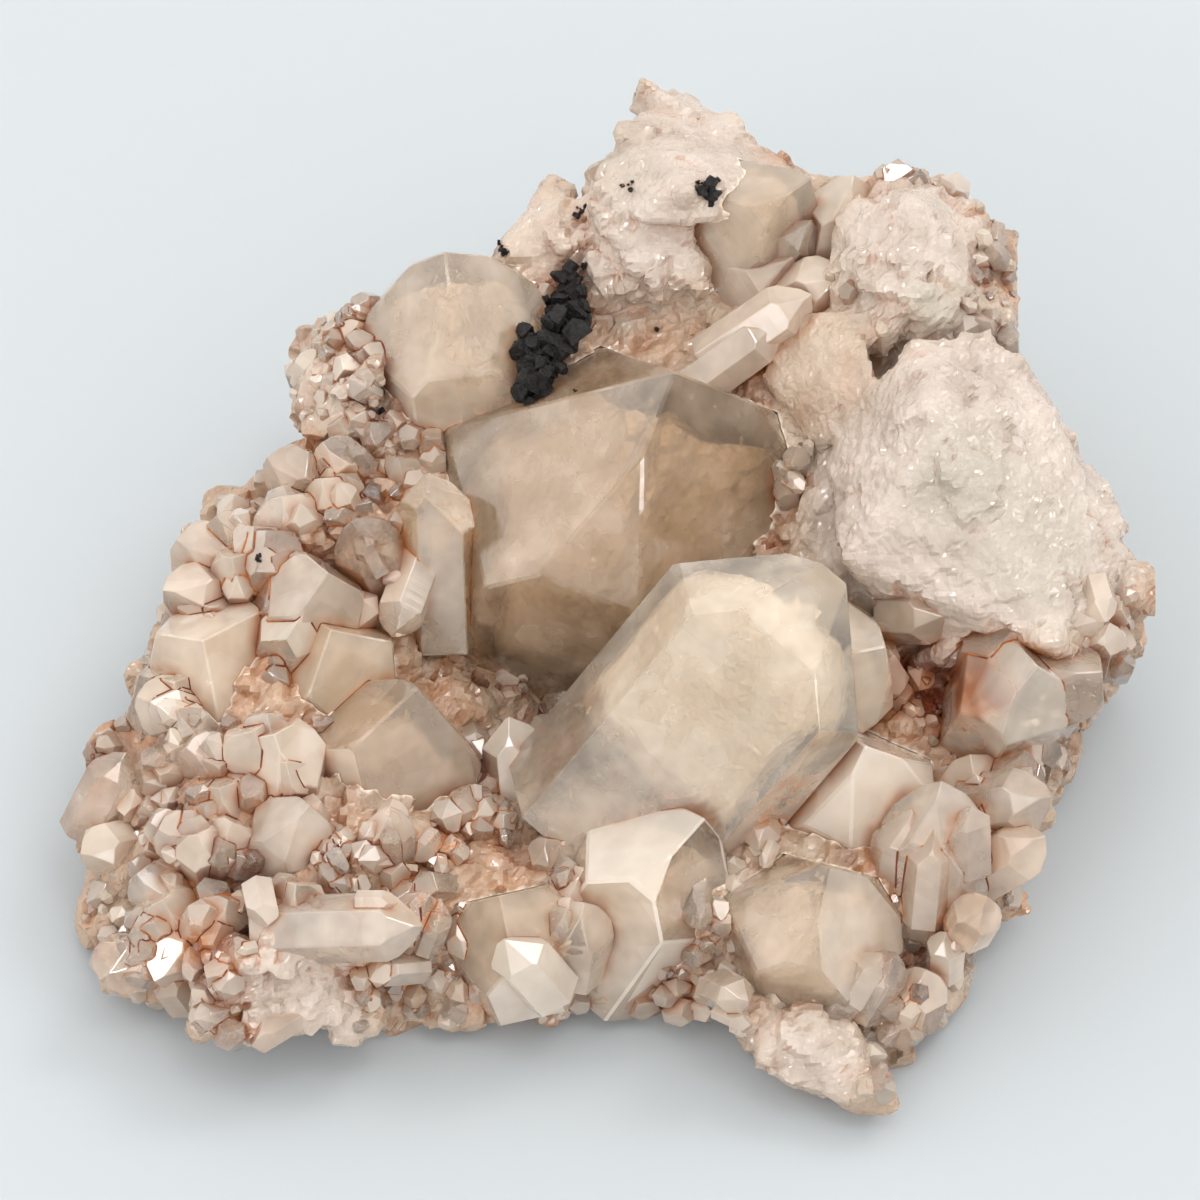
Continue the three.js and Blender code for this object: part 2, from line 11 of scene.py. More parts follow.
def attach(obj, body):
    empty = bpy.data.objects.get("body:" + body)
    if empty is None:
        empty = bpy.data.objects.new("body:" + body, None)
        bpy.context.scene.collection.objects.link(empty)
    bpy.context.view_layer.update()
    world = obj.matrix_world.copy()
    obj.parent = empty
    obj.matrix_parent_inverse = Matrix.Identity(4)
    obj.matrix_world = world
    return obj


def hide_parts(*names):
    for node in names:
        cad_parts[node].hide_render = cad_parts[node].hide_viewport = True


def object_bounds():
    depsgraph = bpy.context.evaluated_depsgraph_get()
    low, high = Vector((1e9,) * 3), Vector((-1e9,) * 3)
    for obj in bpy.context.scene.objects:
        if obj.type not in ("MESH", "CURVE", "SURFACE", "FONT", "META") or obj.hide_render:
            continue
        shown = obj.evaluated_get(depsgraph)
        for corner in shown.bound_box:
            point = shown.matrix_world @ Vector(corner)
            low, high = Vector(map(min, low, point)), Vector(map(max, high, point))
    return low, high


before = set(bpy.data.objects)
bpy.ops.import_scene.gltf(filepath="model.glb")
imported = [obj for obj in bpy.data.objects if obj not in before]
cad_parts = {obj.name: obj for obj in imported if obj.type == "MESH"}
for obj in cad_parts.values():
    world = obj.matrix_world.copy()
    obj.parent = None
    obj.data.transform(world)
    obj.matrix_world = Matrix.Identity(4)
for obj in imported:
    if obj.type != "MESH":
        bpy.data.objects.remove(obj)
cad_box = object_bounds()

MM = 0.001

# The specimen's face is laid out as it is seen from the front, from above the table: across runs to
# the right and up runs up the seen face, both in millimetres from AIM.
VIEW_ELEVATION = math.radians(50)
VIEW_DISTANCE = 1200
AIM = np.array([0, -6, 22])
FRAME_WIDTH = 120
ACROSS = np.array([1.0, 0, 0])
UP = np.array([0, math.sin(VIEW_ELEVATION), math.cos(VIEW_ELEVATION)])
NEAR = np.cross(ACROSS, UP)
EYE = AIM + VIEW_DISTANCE * NEAR


def seen(across, up, height):
    """The point that is seen at (across, up) and lies at that height over the table."""
    on_plane = AIM + across * ACROSS + up * UP
    share = (height - EYE[2]) / (on_plane[2] - EYE[2])
    return EYE + share * (on_plane - EYE)


def unit(vector):
    return vector / np.linalg.norm(vector)


# Height of the rock over the table, where it is seen at (across, up): a blend of these spots.
RELIEF = [
    # [across, up, height]
    [-45, -38, 7], [-25, -40, 6], [0, -40, 6], [22, -41, 5], [28, -48, 3], [36, -38, 8],
    [-52, -24, 10], [-40, -22, 15], [-25, -24, 16], [-14, -24, 11], [0, -28, 12], [14, -26, 15],
    [28, -26, 15], [40, -25, 14], [44, -18, 15],
    [-44, -6, 17], [-30, -8, 19], [-22, -14, 15], [-10, -8, 8], [-6, -13, 5], [-2, -6, 5], [10, -5, 14],
    [30, -6, 18], [35, -10, 12],
    [-42, 6, 20], [-30, 10, 24], [-16, 10, 22], [5, 12, 24], [25, 8, 27], [40, 0, 27], [50, 4, 24],
    [-28, 20, 25], [-16, 24, 29], [-3, 28, 27], [10, 28, 29], [22, 24, 30], [34, 20, 33], [42, 18, 32],
    [-10, 36, 32], [5, 44, 36], [16, 40, 35], [30, 40, 36], [40, 34, 34],
]
RELIEF_SHARPNESS = 3.2
RELIEF_TABLE = np.array(RELIEF, float)


def relief_height(across, up):
    away = np.hypot(RELIEF_TABLE[:, 0] - across, RELIEF_TABLE[:, 1] - up) + 0.6
    weights = away**-RELIEF_SHARPNESS
    return float((weights * RELIEF_TABLE[:, 2]).sum() / weights.sum())


OUTLINE = [
    [52, 3, 19], [50.5, 11, 22], [45, 20, 26], [40, 27, 29], [39, 35, 30], [33, 41, 33], [25, 42, 34],
    [17, 43.5, 34], [8, 48.5, 36], [2, 45, 34], [-4, 39, 32], [-10, 35, 30], [-15, 32, 29], [-20, 28, 27],
    [-25, 24, 24], [-28.5, 16, 22], [-34, 12, 20], [-40, 8, 17], [-43.5, 0, 14], [-45, -8, 12],
    [-49, -15, 10], [-52, -23, 7], [-51, -30, 5], [-50, -39.4, 3], [-38, -41.2, 2.5], [-27, -42.4, 2.5],
    [-15, -42.6, 2.5], [-4, -40.8, 2.5], [8, -40.8, 2.5], [14, -42, 2.5], [18, -47, 2.5], [27, -49, 2.5],
    [28.5, -43, 3], [34, -41, 3.5], [38, -34, 5], [42, -27, 8], [45, -18, 11], [49, -9, 14], [51.5, -3, 17],
]
OUTLINE_CENTRE = (0, -2)
FOOT_REACH = 0.93
FOOT_BACK = 44
RINGS = [0, 0.17, 0.34, 0.5, 0.64, 0.77, 0.88, 0.96, 1]

EVEN = [1, 1, 1, 1, 1, 1]
POINTED = [0, 0.14, 0, 0.22, 0, 0.18]
# Each crystal: [across and up of its tip, how far the tip stands off the rock, radius, lean from the
# line of sight, the way it leans, roll, length], and where they aren't POINTED and EVEN the distances
# of its six tip faces and of its six sides, in radii. Millimetres and degrees.
CRYSTALS = [
    # the big smoky crystal in the middle
    [7.5, 22.9, 14, 17.1, 38, 69, 30, 52, [0, 0.175, 0, 0.234, 0, 0], [1, 1, 1.3, 1.2, 1, 1]],
    # the pale crystal in front of it
    [17.5, 3.2, 13, 10, 66, 50, 30, 34, [0.3, 0.69, 0.95, 0.6, 0, 0.1], [0.78, 1, 1.68, 1.3, 1, 0.6]],
    # the upper left crystal
    [-15.5, 34.9, 9, 8.8, 50, 98, 28, 28],
    # the honey prism below it and the bar that hangs beside it
    [-16.4, 12.5, 6, 3.6, 70, 92, 30, 18, [0.4, 0.6, 0, 0.2, 0, 0.2], [1, 1, 1.1, 1, 1, 1]],
    [-20.8, -3.7, 4, 2.2, 60, 250, 10, 10],
    # below the pale crystal
    [10, -21.5, 7, 7.6, 52, 55, 22, 22, [0, 0.3, 0.1, 0.2, 0, 0.1], [1, 1, 1.1, 1, 1, 1]],
    [26.6, -14.6, 8, 7, 32, 80, 12, 20, POINTED, [1, 1, 1, 1.1, 1, 1]],
    [23.5, -26.6, 7, 8.2, 40, 72, 35, 18, [0.1, 0.3, 0, 0.2, 0, 0.1], EVEN],
    [34.2, -18, 8, 4.8, 60, 84, 20, 16, POINTED, [1, 1, 1.2, 1, 1, 1]],
    [45.3, -19.6, 4, 3, 60, 10, 30, 10],
    [44.6, -23.6, 3, 2.8, 60, 30, 10, 9],
    [28.6, -4.6, 10, 6.6, 42, 24, 15, 22, POINTED, [1, 1, 1, 1, 1, 1.2]],
    # the left field
    [-39, -5, 5, 6.4, 18, 105, 25, 14, [0.1, 0.5, 0, 0.5, 0.2, 0.5], [1.1, 1, 1, 1.1, 1, 1]],
    [-26.6, -3.6, 5, 5.8, 30, 92, 5, 14, [0.1, 0.4, 0, 0.4, 0.1, 0.3], EVEN],
    [-32.6, -13.4, 5, 4.3, 30, 100, 40, 12],
    [-17.5, -9.5, 8, 8.6, 48, 62, 8, 24, [0.2, 0.5, 0.1, 0.3, 0, 0.2], EVEN],
    [-8.6, -11.8, 9, 3.1, 72, 96, 24, 13, [0.2, 0.4, 0, 0.2, 0, 0.2], EVEN],
    [-29, -20.4, 5, 4.2, 45, 62, 15, 12],
    [-21, -20.6, 5, 2.3, 60, 88, 25, 8],
    [-17.6, -32.6, 6, 3, 78, 2, 30, 17],
    [-17, -29.4, 5, 2.2, 50, 60, 30, 8],
    [-10.4, -29.6, 7, 6, 40, 112, 18, 13, [0, 0.3, 0.1, 0.3, 0, 0.2], EVEN],
    [-1.6, -26.8, 4, 2.5, 45, 70, 20, 8],
    [-1.6, -30.2, 5, 3.1, 45, 80, 30, 10],
    [-5.4, -23.9, 4, 1.9, 35, 100, 5, 7],
    # the lower right field
    [19.6, -38, 5, 2.2, 62, 46, 10, 6],
    [22.8, -37.8, 5, 2.3, 62, 50, 30, 6],
    [26, -37.6, 5, 2.2, 62, 48, 5, 6],
    [29.6, -35.2, 4, 2.2, 60, 60, 30, 8],
    [32.6, -36.9, 3, 2.6, 45, 76, 20, 6],
    [38.8, -29.7, 4, 2.3, 45, 60, 30, 6],
    [34.6, -33.2, 4, 1.7, 45, 90, 10, 6],
    # in and around the rusty hollow on the right
    [35.2, -10.2, 3, 2.8, 30, 150, 10, 9],
    [34, -6, 3, 1.8, 25, 200, 30, 7],
    [43, -7, 6, 5.4, 28, 60, 20, 14, [0.2, 0.5, 0.3, 0.5, 0.2, 0.4], [1, 1.1, 1, 1, 1.2, 1]],
    [43.4, -12, 4, 3, 35, 70, 40, 9],
    [49.4, -7.2, 4, 4, 40, 20, 10, 11, [0.2, 0.5, 0.3, 0.5, 0.2, 0.4], EVEN],
    [37, -15.4, 5, 3.8, 50, 100, 30, 11],
    [42.6, -15, 4, 2.7, 45, 60, 15, 8],
    # the top
    [21, 41.6, 4, 6, 60, 36, 30, 18, [0.2, 0.4, 0.1, 0.2, 0, 0.2], EVEN],
    [25.4, 42.6, 4, 3.6, 60, 78, 30, 13],
    [21.2, 30.6, 5, 2.7, 75, 34, 30, 13],
    [18, 27.5, 4, 2.3, 75, 36, 10, 12],
    # the upper left field
    [-27.4, 2.4, 6, 4.6, 34, 64, 20, 12, [0.1, 0.4, 0.1, 0.4, 0.1, 0.4], EVEN],
    [-33.4, 7, 4, 3, 40, 100, 15, 9],
    [-38.4, 8.4, 3, 2.2, 40, 120, 40, 7],
    [-42.4, 6, 2.5, 3.2, 42, 150, 20, 8],
    [-43.8, 1, 2, 3, 50, 170, 35, 8],
    [-36.8, 4.2, 4, 2.8, 25, 120, 5, 8],
    [-24.8, 8, 4, 3.1, 50, 118, 30, 9],
    [-31.8, 10.4, 3, 3.4, 40, 105, 25, 9],
    [-33.4, 14.2, 3, 2.6, 50, 150, 5, 8],
    [-27.8, 15.8, 3, 2.4, 45, 130, 25, 8],
    [-27.8, 12.2, 3, 2.2, 40, 110, 10, 7],
    # the lower left field
    [-41.4, -14.8, 3.5, 2.4, 30, 150, 20, 7],
    [-42.2, -11, 3, 1.9, 40, 130, 5, 6],
    [-46.4, -9.6, 2, 2.9, 50, 160, 25, 8],
    [-38, -18.8, 4, 2.8, 25, 100, 30, 8],
    [-36.8, -22.2, 4, 2.6, 35, 80, 10, 8],
    [-44.2, -23, 3.5, 2.4, 35, 160, 20, 7],
    [-40.2, -23.4, 4, 2.4, 30, 100, 40, 7],
    [-46.4, -27.4, 3, 2.5, 40, 140, 15, 7],
    [-43.8, -30, 4, 3, 30, 120, 35, 8],
    [-44.8, -34.2, 4, 3.1, 35, 130, 10, 8],
    [-49, -36.4, 3, 2.3, 50, 190, 25, 6],
    [-44.6, -38.2, 3, 2.8, 50, 230, 5, 7],
    [-30.4, -28.4, 5, 2.8, 35, 90, 20, 8],
    [-37.2, -30, 4.5, 2.4, 30, 70, 35, 7],
    [-47.4, -15.2, 2, 2.4, 70, 62, 30, 10],
    [-52, -25.4, 2, 2.4, 45, 190, 10, 6],
    [-50, -38, 2.5, 2.7, 35, 215, 30, 6],
    [28.8, -45.6, 1.8, 1.2, 72, 355, 10, 6],
]
# Broken blocks of massive quartz, each the hull of spots that stand off the rock: [across, up, stands]
LUMPS = [
    # the white block on the right
    [
      [23, 14, 2], [27.5, 21, 5], [31.4, 26.1, 6], [35.5, 26.6, 5], [42, 23, 3], [45.5, 18, 2], [50, 10, 1],
      [53.7, 2.6, 0], [52, -7, 0], [45, -4, 3], [36, -4.6, 3], [30.5, -3, 2], [24.5, 4, 3], [47, 3, 5],
      [33, 18, 7],
    ],
    # the ridged block above it
    [
      [23, 25.5, 1], [23.5, 38, 3], [28, 42, 2], [32.5, 42.2, 2], [36, 37.2, 1], [40, 36, 0], [40, 30, 1],
      [40.3, 27, 0], [31.6, 39, 6], [30.2, 28.5, 7], [35.7, 27.5, 3], [27, 30, 4],
    ],
    # the peach block beside the big crystal
    [
      [19, 28, 3], [21.9, 29, 5], [25.8, 29.5, 5], [26.8, 24.6, 6], [27.5, 21, 5], [25.3, 15.4, 3],
      [21.4, 15.9, 1], [16.1, 22.2, 1],
    ],
    # the top peak and the sparkling patch under it
    [
      [0, 41, 2], [4, 48.3, 2], [7.2, 50.4, 1], [13.5, 45, 1], [17, 45, 0], [20, 42.6, 1], [8, 42, 6],
      [12, 38, 4], [4, 38, 5],
    ],
    [[-2, 40.6, 3], [9, 41, 5], [9, 31, 2], [-1, 30.5, 2], [3, 36, 5]],
    # left of the top
    [[-12.5, 32, 0], [-9.5, 35.2, 0], [-5.6, 41.2, 0], [-2, 40.6, 1], [0, 36, 2], [-3, 31, 2], [-9, 29.5, 1]],
    # left of the upper left crystal
    [
      [-29.8, 23, 0], [-27.8, 26.6, 0], [-23.8, 28, 1], [-22, 24, 3], [-23, 16, 1], [-29.6, 16.6, 0],
      [-26, 21, 4],
    ],
    # the grey piece at the lower left
    [
      [-40.6, -34, 3], [-36, -37.2, 4], [-40, -42.6, 1], [-22.4, -42.8, 1], [-22.2, -34, 3], [-36, -34, 4],
      [-30, -36.4, 6],
    ],
    # the lowest piece
    [
      [13.9, -40.3, 2], [14.4, -42.6, 1], [16, -46.4, 0.5], [19.2, -49, 0.5], [24.8, -50.5, 0.5],
      [27.6, -50.6, 0.5], [27.2, -47, 1], [25.2, -42.7, 3], [21, -44, 4],
    ],
]
LUMP_TAPER = 0.3
LUMP_DEPTH = 9
# Black ore, grain by grain: [across, up, stands, radius]
ORE_CLUMP = [
    [-3.3, 32.2, 4, 1.6], [-3.9, 30, 4.2, 1.8], [-3.2, 28, 4.5, 1.9], [-4, 26, 5, 2], [-7, 25.2, 5, 1.7],
    [-5.4, 23.8, 5, 2], [-7.2, 21.8, 5.5, 1.8],
]
ORE_GRAIN = [[10.8, 40.8, 5.5, 1.4]]
ORE_FULLNESS = 1.1
# Small black grains: [across, up, radius]
ORE_SPECKS = [
    [3.2, 41.6, 0.55], [2.3, 41.3, 0.35], [-1.8, 39, 0.6], [-9.5, 34.9, 0.7], [5.7, 26.9, 0.45],
    [-21.8, 18.8, 0.45], [-34.1, 4.2, 0.4], [11.6, 41.9, 0.5], [9.9, 41.7, 0.4], [-10, 35.8, 0.35],
    [-1.4, 33.4, 0.4], [-2.4, 20.9, 0.3],
]

# Where iron stains the quartz more: [across, up, reach, how much]
STAIN_BIAS = 0.06
STAIN_SPOTS = [
    [-30, -4, 14, 0.35], [-30, -28, 14, 0.3], [35, -7.5, 7, 1.6], [-32, -4, 5, 0.6], [-39.5, -34, 3.5, 1.4],
    [-24, 8, 6, 0.5], [-17, 8, 4, 0.5], [-18, -30, 4, 0.8], [18, -20, 4, 0.9], [34, -24, 9, 0.45],
    [-15, -21, 7, 0.45], [-3, 27, 4, 0.8], [36, 12, 16, -0.2], [8, 45, 8, 0.1],
]
# Where iron stains the crystals' faces too: [across, up, reach]
STAINED_FACES = [
    [18.4, -19.8, 4.5], [34.5, -7, 4.5], [-40, -34.4, 4], [-17.2, -31.4, 3], [-15, -24, 3.5], [37, -13.4, 3],
]
SMALL_SEED = 41
SMALL_COUNT = 28
FLANK_COUNT = 17
BLOCK_COUNT = 16
TINY_COUNT = 760

# Broken blocks that stand out of each lump's surface: the area for each, and how much they are tilted.
LUMP_BREAKS = [
    (50, 0.1), (22, 0.24), (400, 0.05), (36, 0.14), (14, 0.24), (50, 0.12), (26, 0.16), (20, 0.2), (40, 0.12),
]
ROCK_BREAK = (70, 0.25)
BLOCK_BREAK = (30, 0.2)
# The rock's surface is made of tilted facets in these sizes: [spacing, height, slope], in millimetres.
ROCK_FACETS = [(5.0, 0.6, 0.26), (2.1, 0.2, 0.28)]
ROCK_GRAIN = 0.55  # the edge length of its mesh
# Broken places that no small crystals grow on: [across, up, reach]
BARE_SPOTS = [
    [38, 10, 17], [31, 35, 7], [32, 27, 6], [21, 23, 7], [22, 28, 4], [-31, -39, 6], [21, -46, 6], [8, 45, 9],
    [4, 36, 7], [-6, 37, 5],
]
# How rough it is around these spots: [across, up, reach, roughness]
ROUGH_SPOTS = [
    [38, 10, 16, 0.5], [40, 8, 7, 0.3], [4, 36, 6, 0.9], [31, 35, 8, 0.85], [21, -46, 6, 0.6],
    [22, 23, 6.5, 0.12], [17, 37, 5, 0.4], [8, 45, 7, 0.45], [-7, 37, 5, 0.4],
]

# Placed crystals that stand alone, by their tips.
CLEAN_STANDING = {(-16.4, 12.5), (-8.6, -11.8), (-20.8, -3.7), (26.6, -14.6), (21.2, 30.6), (18, 27.5)}

# How clear, smoky, peach and honey-yellow the crystals with these tips are, all from 0 to 1.
LOOK_NAMES = ("clarity", "smoke", "peach", "honey")
LOOKS = {
    (7.5, 22.9): (0.82, 1.0, 0.15, 0.1),
    (17.5, 3.2): (0.84, 0.05, 0.0, 0.35),
    (-15.5, 34.9): (0.74, 0.45, 0.35, 0.1),
    (-16.4, 12.5): (0.75, 0.2, 0.1, 0.9),
    (-20.8, -3.7): (0.8, 0.15, 0.0, 0.3),
    (10, -21.5): (0.5, 0.0, 0.05, 0.0),
    (26.6, -14.6): (0.45, 0.0, 0.45, 0.1),
    (23.5, -26.6): (0.82, 0.7, 0.3, 0.2),
    (34.2, -18): (0.8, 0.15, 0.1, 0.1),
    (28.6, -4.6): (0.6, 0.2, 0.2, 0.3),
    (-39, -5): (0.5, 0.4, 0.7, 0.2),
    (-26.6, -3.6): (0.55, 0.6, 0.5, 0.3),
    (-32.6, -13.4): (0.45, 0.1, 0.4, 0.1),
    (-17.5, -9.5): (0.66, 0.85, 0.2, 0.0),
    (-8.6, -11.8): (0.5, 0.0, 0.0, 0.0),
    (-10.4, -29.6): (0.65, 0.8, 0.2, 0.05),
    (21, 41.6): (0.7, 0.75, 0.0, 0.2),
    (25.4, 42.6): (0.6, 0.2, 0.1, 0.3),
}

# How white the massive quartz is around these spots: [across, up, reach, white]
ROCK_TONES = [
    [38, 10, 17, 0.95], [31, 35, 8, 0.85], [4, 36, 7, 0.9], [8, 45, 8, 0.8], [-7, 37, 5, 0.5],
    [22, 23, 5, 0.25], [46, -8, 5, 0.45], [-31, -39, 9, 0.75], [21, -46, 6, 0.8], [-26, 22, 5, 0.6],
]

# Where the massive quartz is grey-green and glassy instead: [across, up, reach, how much]
GLASS_SPOTS = [[36.5, 12, 4.5, 0.8], [44, 5, 5.5, 0.55], [33.5, 29.5, 1.8, 0.9], [3, 43, 3, 0.3]]


def vertex_places(made):
    return np.array([vertex.co for vertex in made.data.vertices]) / MM


def seen_at(points):
    """Where points are seen from the front: across and up, in millimetres."""
    offset = points - AIM
    scale = VIEW_DISTANCE / (VIEW_DISTANCE - offset @ NEAR)
    return offset @ ACROSS * scale, offset @ UP * scale


def spot_values(points, spots, otherwise):
    """A blend of the spots' values, [across, up, reach, value], where these points are seen."""
    across, up = seen_at(points)
    total = np.full(len(points), otherwise, float)
    for a, u, reach, value in spots:
        share = 1 / (1 + np.exp((np.hypot(across - a, up - u) - reach) / 1.2))
        total = total * (1 - share) + value * share
    return total


def convex_solid(normals, distances, origin):
    """The solid that these planes bound, as corners and faces that run anticlockwise from outside."""
    count = len(normals)
    triples = np.array([(i, j, k) for i in range(count) for j in range(i) for k in range(j)])
    rows = normals[triples]
    usable = np.abs(np.linalg.det(rows)) > 1e-4
    points = np.linalg.solve(rows[usable], distances[triples[usable]][..., None])[..., 0]
    points = points[(points @ normals.T <= distances + 1e-6).all(1)]
    corners = []
    for point in points:
        if all(np.abs(point - corner).max() > 1e-4 for corner in corners):
            corners.append(point)
    corners = np.array(corners)
    faces = []
    for normal, distance in zip(normals, distances):
        on_plane = np.nonzero(np.abs(corners @ normal - distance) < 2e-4)[0]
        if len(on_plane) < 3:
            continue
        spread = corners[on_plane] - corners[on_plane].mean(0)
        first = unit(spread[0])
        second = np.cross(normal, first)
        order = np.argsort(np.arctan2(spread @ second, spread @ first))
        faces.append(on_plane[order].tolist())
    return corners + origin, faces


def outside_by(places, tip, normals, distances):
    """How far places lie outside a convex form: negative inside it."""
    return ((places - tip) @ normals.T - distances).max(-1)


def is_closed(faces):
    edges = {(a, b) for face in faces for a, b in zip(face, face[1:] + face[:1])}
    return all((b, a) in edges for a, b in edges) and len(edges) == sum(len(face) for face in faces)


def crystal_axes(lean, toward, roll):
    """The long axis, and the outward normals of the six sides."""
    lean, toward, roll = (math.radians(a) for a in (lean, toward, roll))
    axis = math.sin(lean) * (math.cos(toward) * ACROSS + math.sin(toward) * UP) + math.cos(lean) * NEAR
    level = -math.sin(toward) * ACROSS + math.cos(toward) * UP
    third = np.cross(axis, level)
    turns = roll + np.radians(60) * np.arange(6)
    return axis, np.cos(turns)[:, None] * level + np.sin(turns)[:, None] * third


TIP_FACE_LEAN = math.radians(51.8)


def crystal_planes(radius, lean, toward, roll, length, tips, sides):
    axis, side_normals = crystal_axes(lean, toward, roll)
    slopes = math.sin(TIP_FACE_LEAN) * side_normals + math.cos(TIP_FACE_LEAN) * axis
    normals = np.vstack([-axis[None], side_normals, slopes])
    distances = np.concatenate([[length], radius * np.array(sides, float), radius * np.array(tips, float)])
    return normals, distances


def linked_object(name, data):
    made = bpy.data.objects.new(name, data)
    bpy.context.scene.collection.objects.link(made)
    return made


def mesh_object(name, corners, faces):
    mesh = bpy.data.meshes.new(name)
    mesh.from_pydata([tuple(c * MM) for c in corners], [], faces)
    return linked_object(name, mesh)


def with_modifier_applied(made):
    shown = made.evaluated_get(bpy.context.evaluated_depsgraph_get())
    mesh = bpy.data.meshes.new_from_object(shown)
    made.modifiers.clear()
    made.data = mesh
    return made


def bevelled(made, width):
    shape = bmesh.new()
    shape.from_mesh(made.data)
    bmesh.ops.bevel(
        shape, geom=shape.edges[:], offset=width * MM, segments=1, profile=0.5, affect="EDGES",
        clamp_overlap=True,
    )
    shape.to_mesh(made.data)
    shape.free()
    return made


def boolean(first, others, operation):
    """first joined with all the others, or cut by them. The others are used up."""
    group = bpy.data.collections.new("operands")
    for other in others:
        group.objects.link(other)
    change = first.modifiers.new("boolean", "BOOLEAN")
    change.operation = operation
    change.operand_type = "COLLECTION"
    change.collection = group
    change.solver = "MANIFOLD"
    with_modifier_applied(first)
    for other in others:
        bpy.data.objects.remove(other)
    bpy.data.collections.remove(group)
    return first


# Crystals


def all_crystals():
    """The placed crystals as (tip, radius, lean, toward, roll, length, tips, sides)."""
    rows = []
    for across, up, stands, *shape in CRYSTALS:
        tips_and_sides = shape[5:] or (POINTED, EVEN)
        rows.append((seen(across, up, relief_height(across, up) + stands), *shape[:5], *tips_and_sides))
    return rows


def sequence(seed):
    """Even random numbers from 0 to 1, the same ones as in the part's source."""
    state = seed
    while True:
        state = state * 16807 % 2147483647
        yield state / 2147483647


def within_outline(across, up, share):
    mid_across, mid_up = OUTLINE_CENTRE
    x = mid_across + (across - mid_across) / share
    y = mid_up + (up - mid_up) / share
    inside = False
    for (xi, yi, _), (xj, yj, _) in zip(OUTLINE, OUTLINE[-1:] + OUTLINE[:-1]):
        if (yi > y) != (yj > y) and x < (xj - xi) * (y - yi) / (yj - yi) + xi:
            inside = not inside
    return inside


def companion_crystals(rows):
    """Crystals that grew side by side with the placed ones, nearly parallel and set back a little."""
    rng = np.random.default_rng(3)
    made = []
    for (tip, radius, lean, toward, roll, length, _, _), placed in zip(rows, CRYSTALS):
        if radius > 7 or tuple(placed[:2]) in CLEAN_STANDING:
            continue
        axis, side_normals = crystal_axes(lean, toward, roll)
        for _ in range(int(rng.integers(2, 5))):
            beside = side_normals[rng.integers(6)] * rng.uniform(0.5, 1) * radius
            behind = rng.uniform(0.15, 0.8) * radius
            small = radius * rng.uniform(0.35, 0.75)
            tips = rng.uniform(0, 0.5, 6) * np.array([0, 1, 0.5, 1, 0.3, 1])
            turns = rng.normal(0, 7, 3)
            place = tip + beside - behind * axis
            if not within_outline(*(float(value) for value in seen_at(place)), 0.97):
                continue
            made.append((
                place, small, abs(lean + turns[0]), toward + turns[1], roll + turns[2],
                min(length, 3.5 * small), tips, rng.uniform(0.8, 1.2, 6),
            ))
    return made


def off_the_seen_axis(across, up, row):
    """How far a spot of the seen face is from the upper part of a crystal's axis."""
    a, u, _, _, lean, toward, _, length, *_ = row
    seen_length = 0.6 * length * math.sin(math.radians(lean))
    x, y = -math.cos(math.radians(toward)), -math.sin(math.radians(toward))
    along = (across - a) * x + (up - u) * y
    nearest = min(max(along, 0), seen_length)
    return math.hypot(across - a - x * nearest, up - u - y * nearest)


def seen_surface(across, up, objects):
    """The first point of these objects that is seen at (across, up), or None."""
    way = Vector(unit(AIM + across * ACROSS + up * UP - EYE))
    hits = [made.ray_cast(Vector(EYE) * MM, way) for made in objects]
    found = [np.array(hit[1]) / MM for hit in hits if hit[0]]
    return min(found, key=lambda place: np.linalg.norm(place - EYE), default=None)


def tiny_crystals(rock):
    """The small druse that grows on the rock between the others, each a little uneven."""
    rng = np.random.default_rng(5)
    bpy.context.view_layer.update()
    rows = []
    while len(rows) < TINY_COUNT:
        across, up = rng.uniform(-54, 54), rng.uniform(-50, 52)
        place = seen_surface(across, up, [rock])
        if place is None or place[2] < 1.5:
            continue
        if any(math.hypot(a - across, u - up) < reach for a, u, reach in BARE_SPOTS):
            continue
        if any(off_the_seen_axis(across, up, row) < row[3] * 0.8 for row in CRYSTALS):
            continue
        radius = 0.5 + 1.3 * rng.random() ** 2
        outward = math.degrees(math.atan2(up + 2, across))
        tip = place + radius * rng.uniform(0.5, 1.7) * NEAR
        tips = np.array(POINTED) + rng.uniform(0, 0.25, 6)
        sides = rng.uniform(0.8, 1.2, 6)
        lean, toward = rng.uniform(5, 60), outward + rng.uniform(-80, 80)
        rows.append((tip, radius, lean, toward, rng.uniform(0, 60), 3.5 * radius, tips, sides))
    return rows


def small_crystals():
    """The small crystals that the CAD solids have too, between the placed ones."""
    draw = sequence(SMALL_SEED)
    rows = []
    while len(rows) < SMALL_COUNT:
        across = -54 + 108 * next(draw)
        up = -50 + 100 * next(draw)
        size, leaning, turn, roll = (next(draw) for _ in range(4))
        if not within_outline(across, up, 0.9):
            continue
        if any(off_the_seen_axis(across, up, row) < row[3] * 0.9 for row in CRYSTALS):
            continue
        radius = 1.3 + 2 * size**2
        outward = math.degrees(math.atan2(up + 2, across))
        stands = radius * 1.2 - 0.4
        tip = seen(across, up, relief_height(across, up) + stands)
        lean, toward = 15 + 45 * leaning, outward + 120 * (turn - 0.5)
        rows.append((tip, radius, lean, toward, 60 * roll, 3 * radius, POINTED, EVEN))
    return rows


def crystal_object(name, row, width):
    tip, *shape = row
    normals, distances = crystal_planes(*shape)
    corners, faces = convex_solid(normals, distances, tip)
    return bevelled(mesh_object(name, corners, faces), width) if is_closed(faces) else None


def foot_corner(row):
    edge = seen(*row)
    return np.array([edge[0] * FOOT_REACH, min(edge[1] * FOOT_REACH, FOOT_BACK), 0])


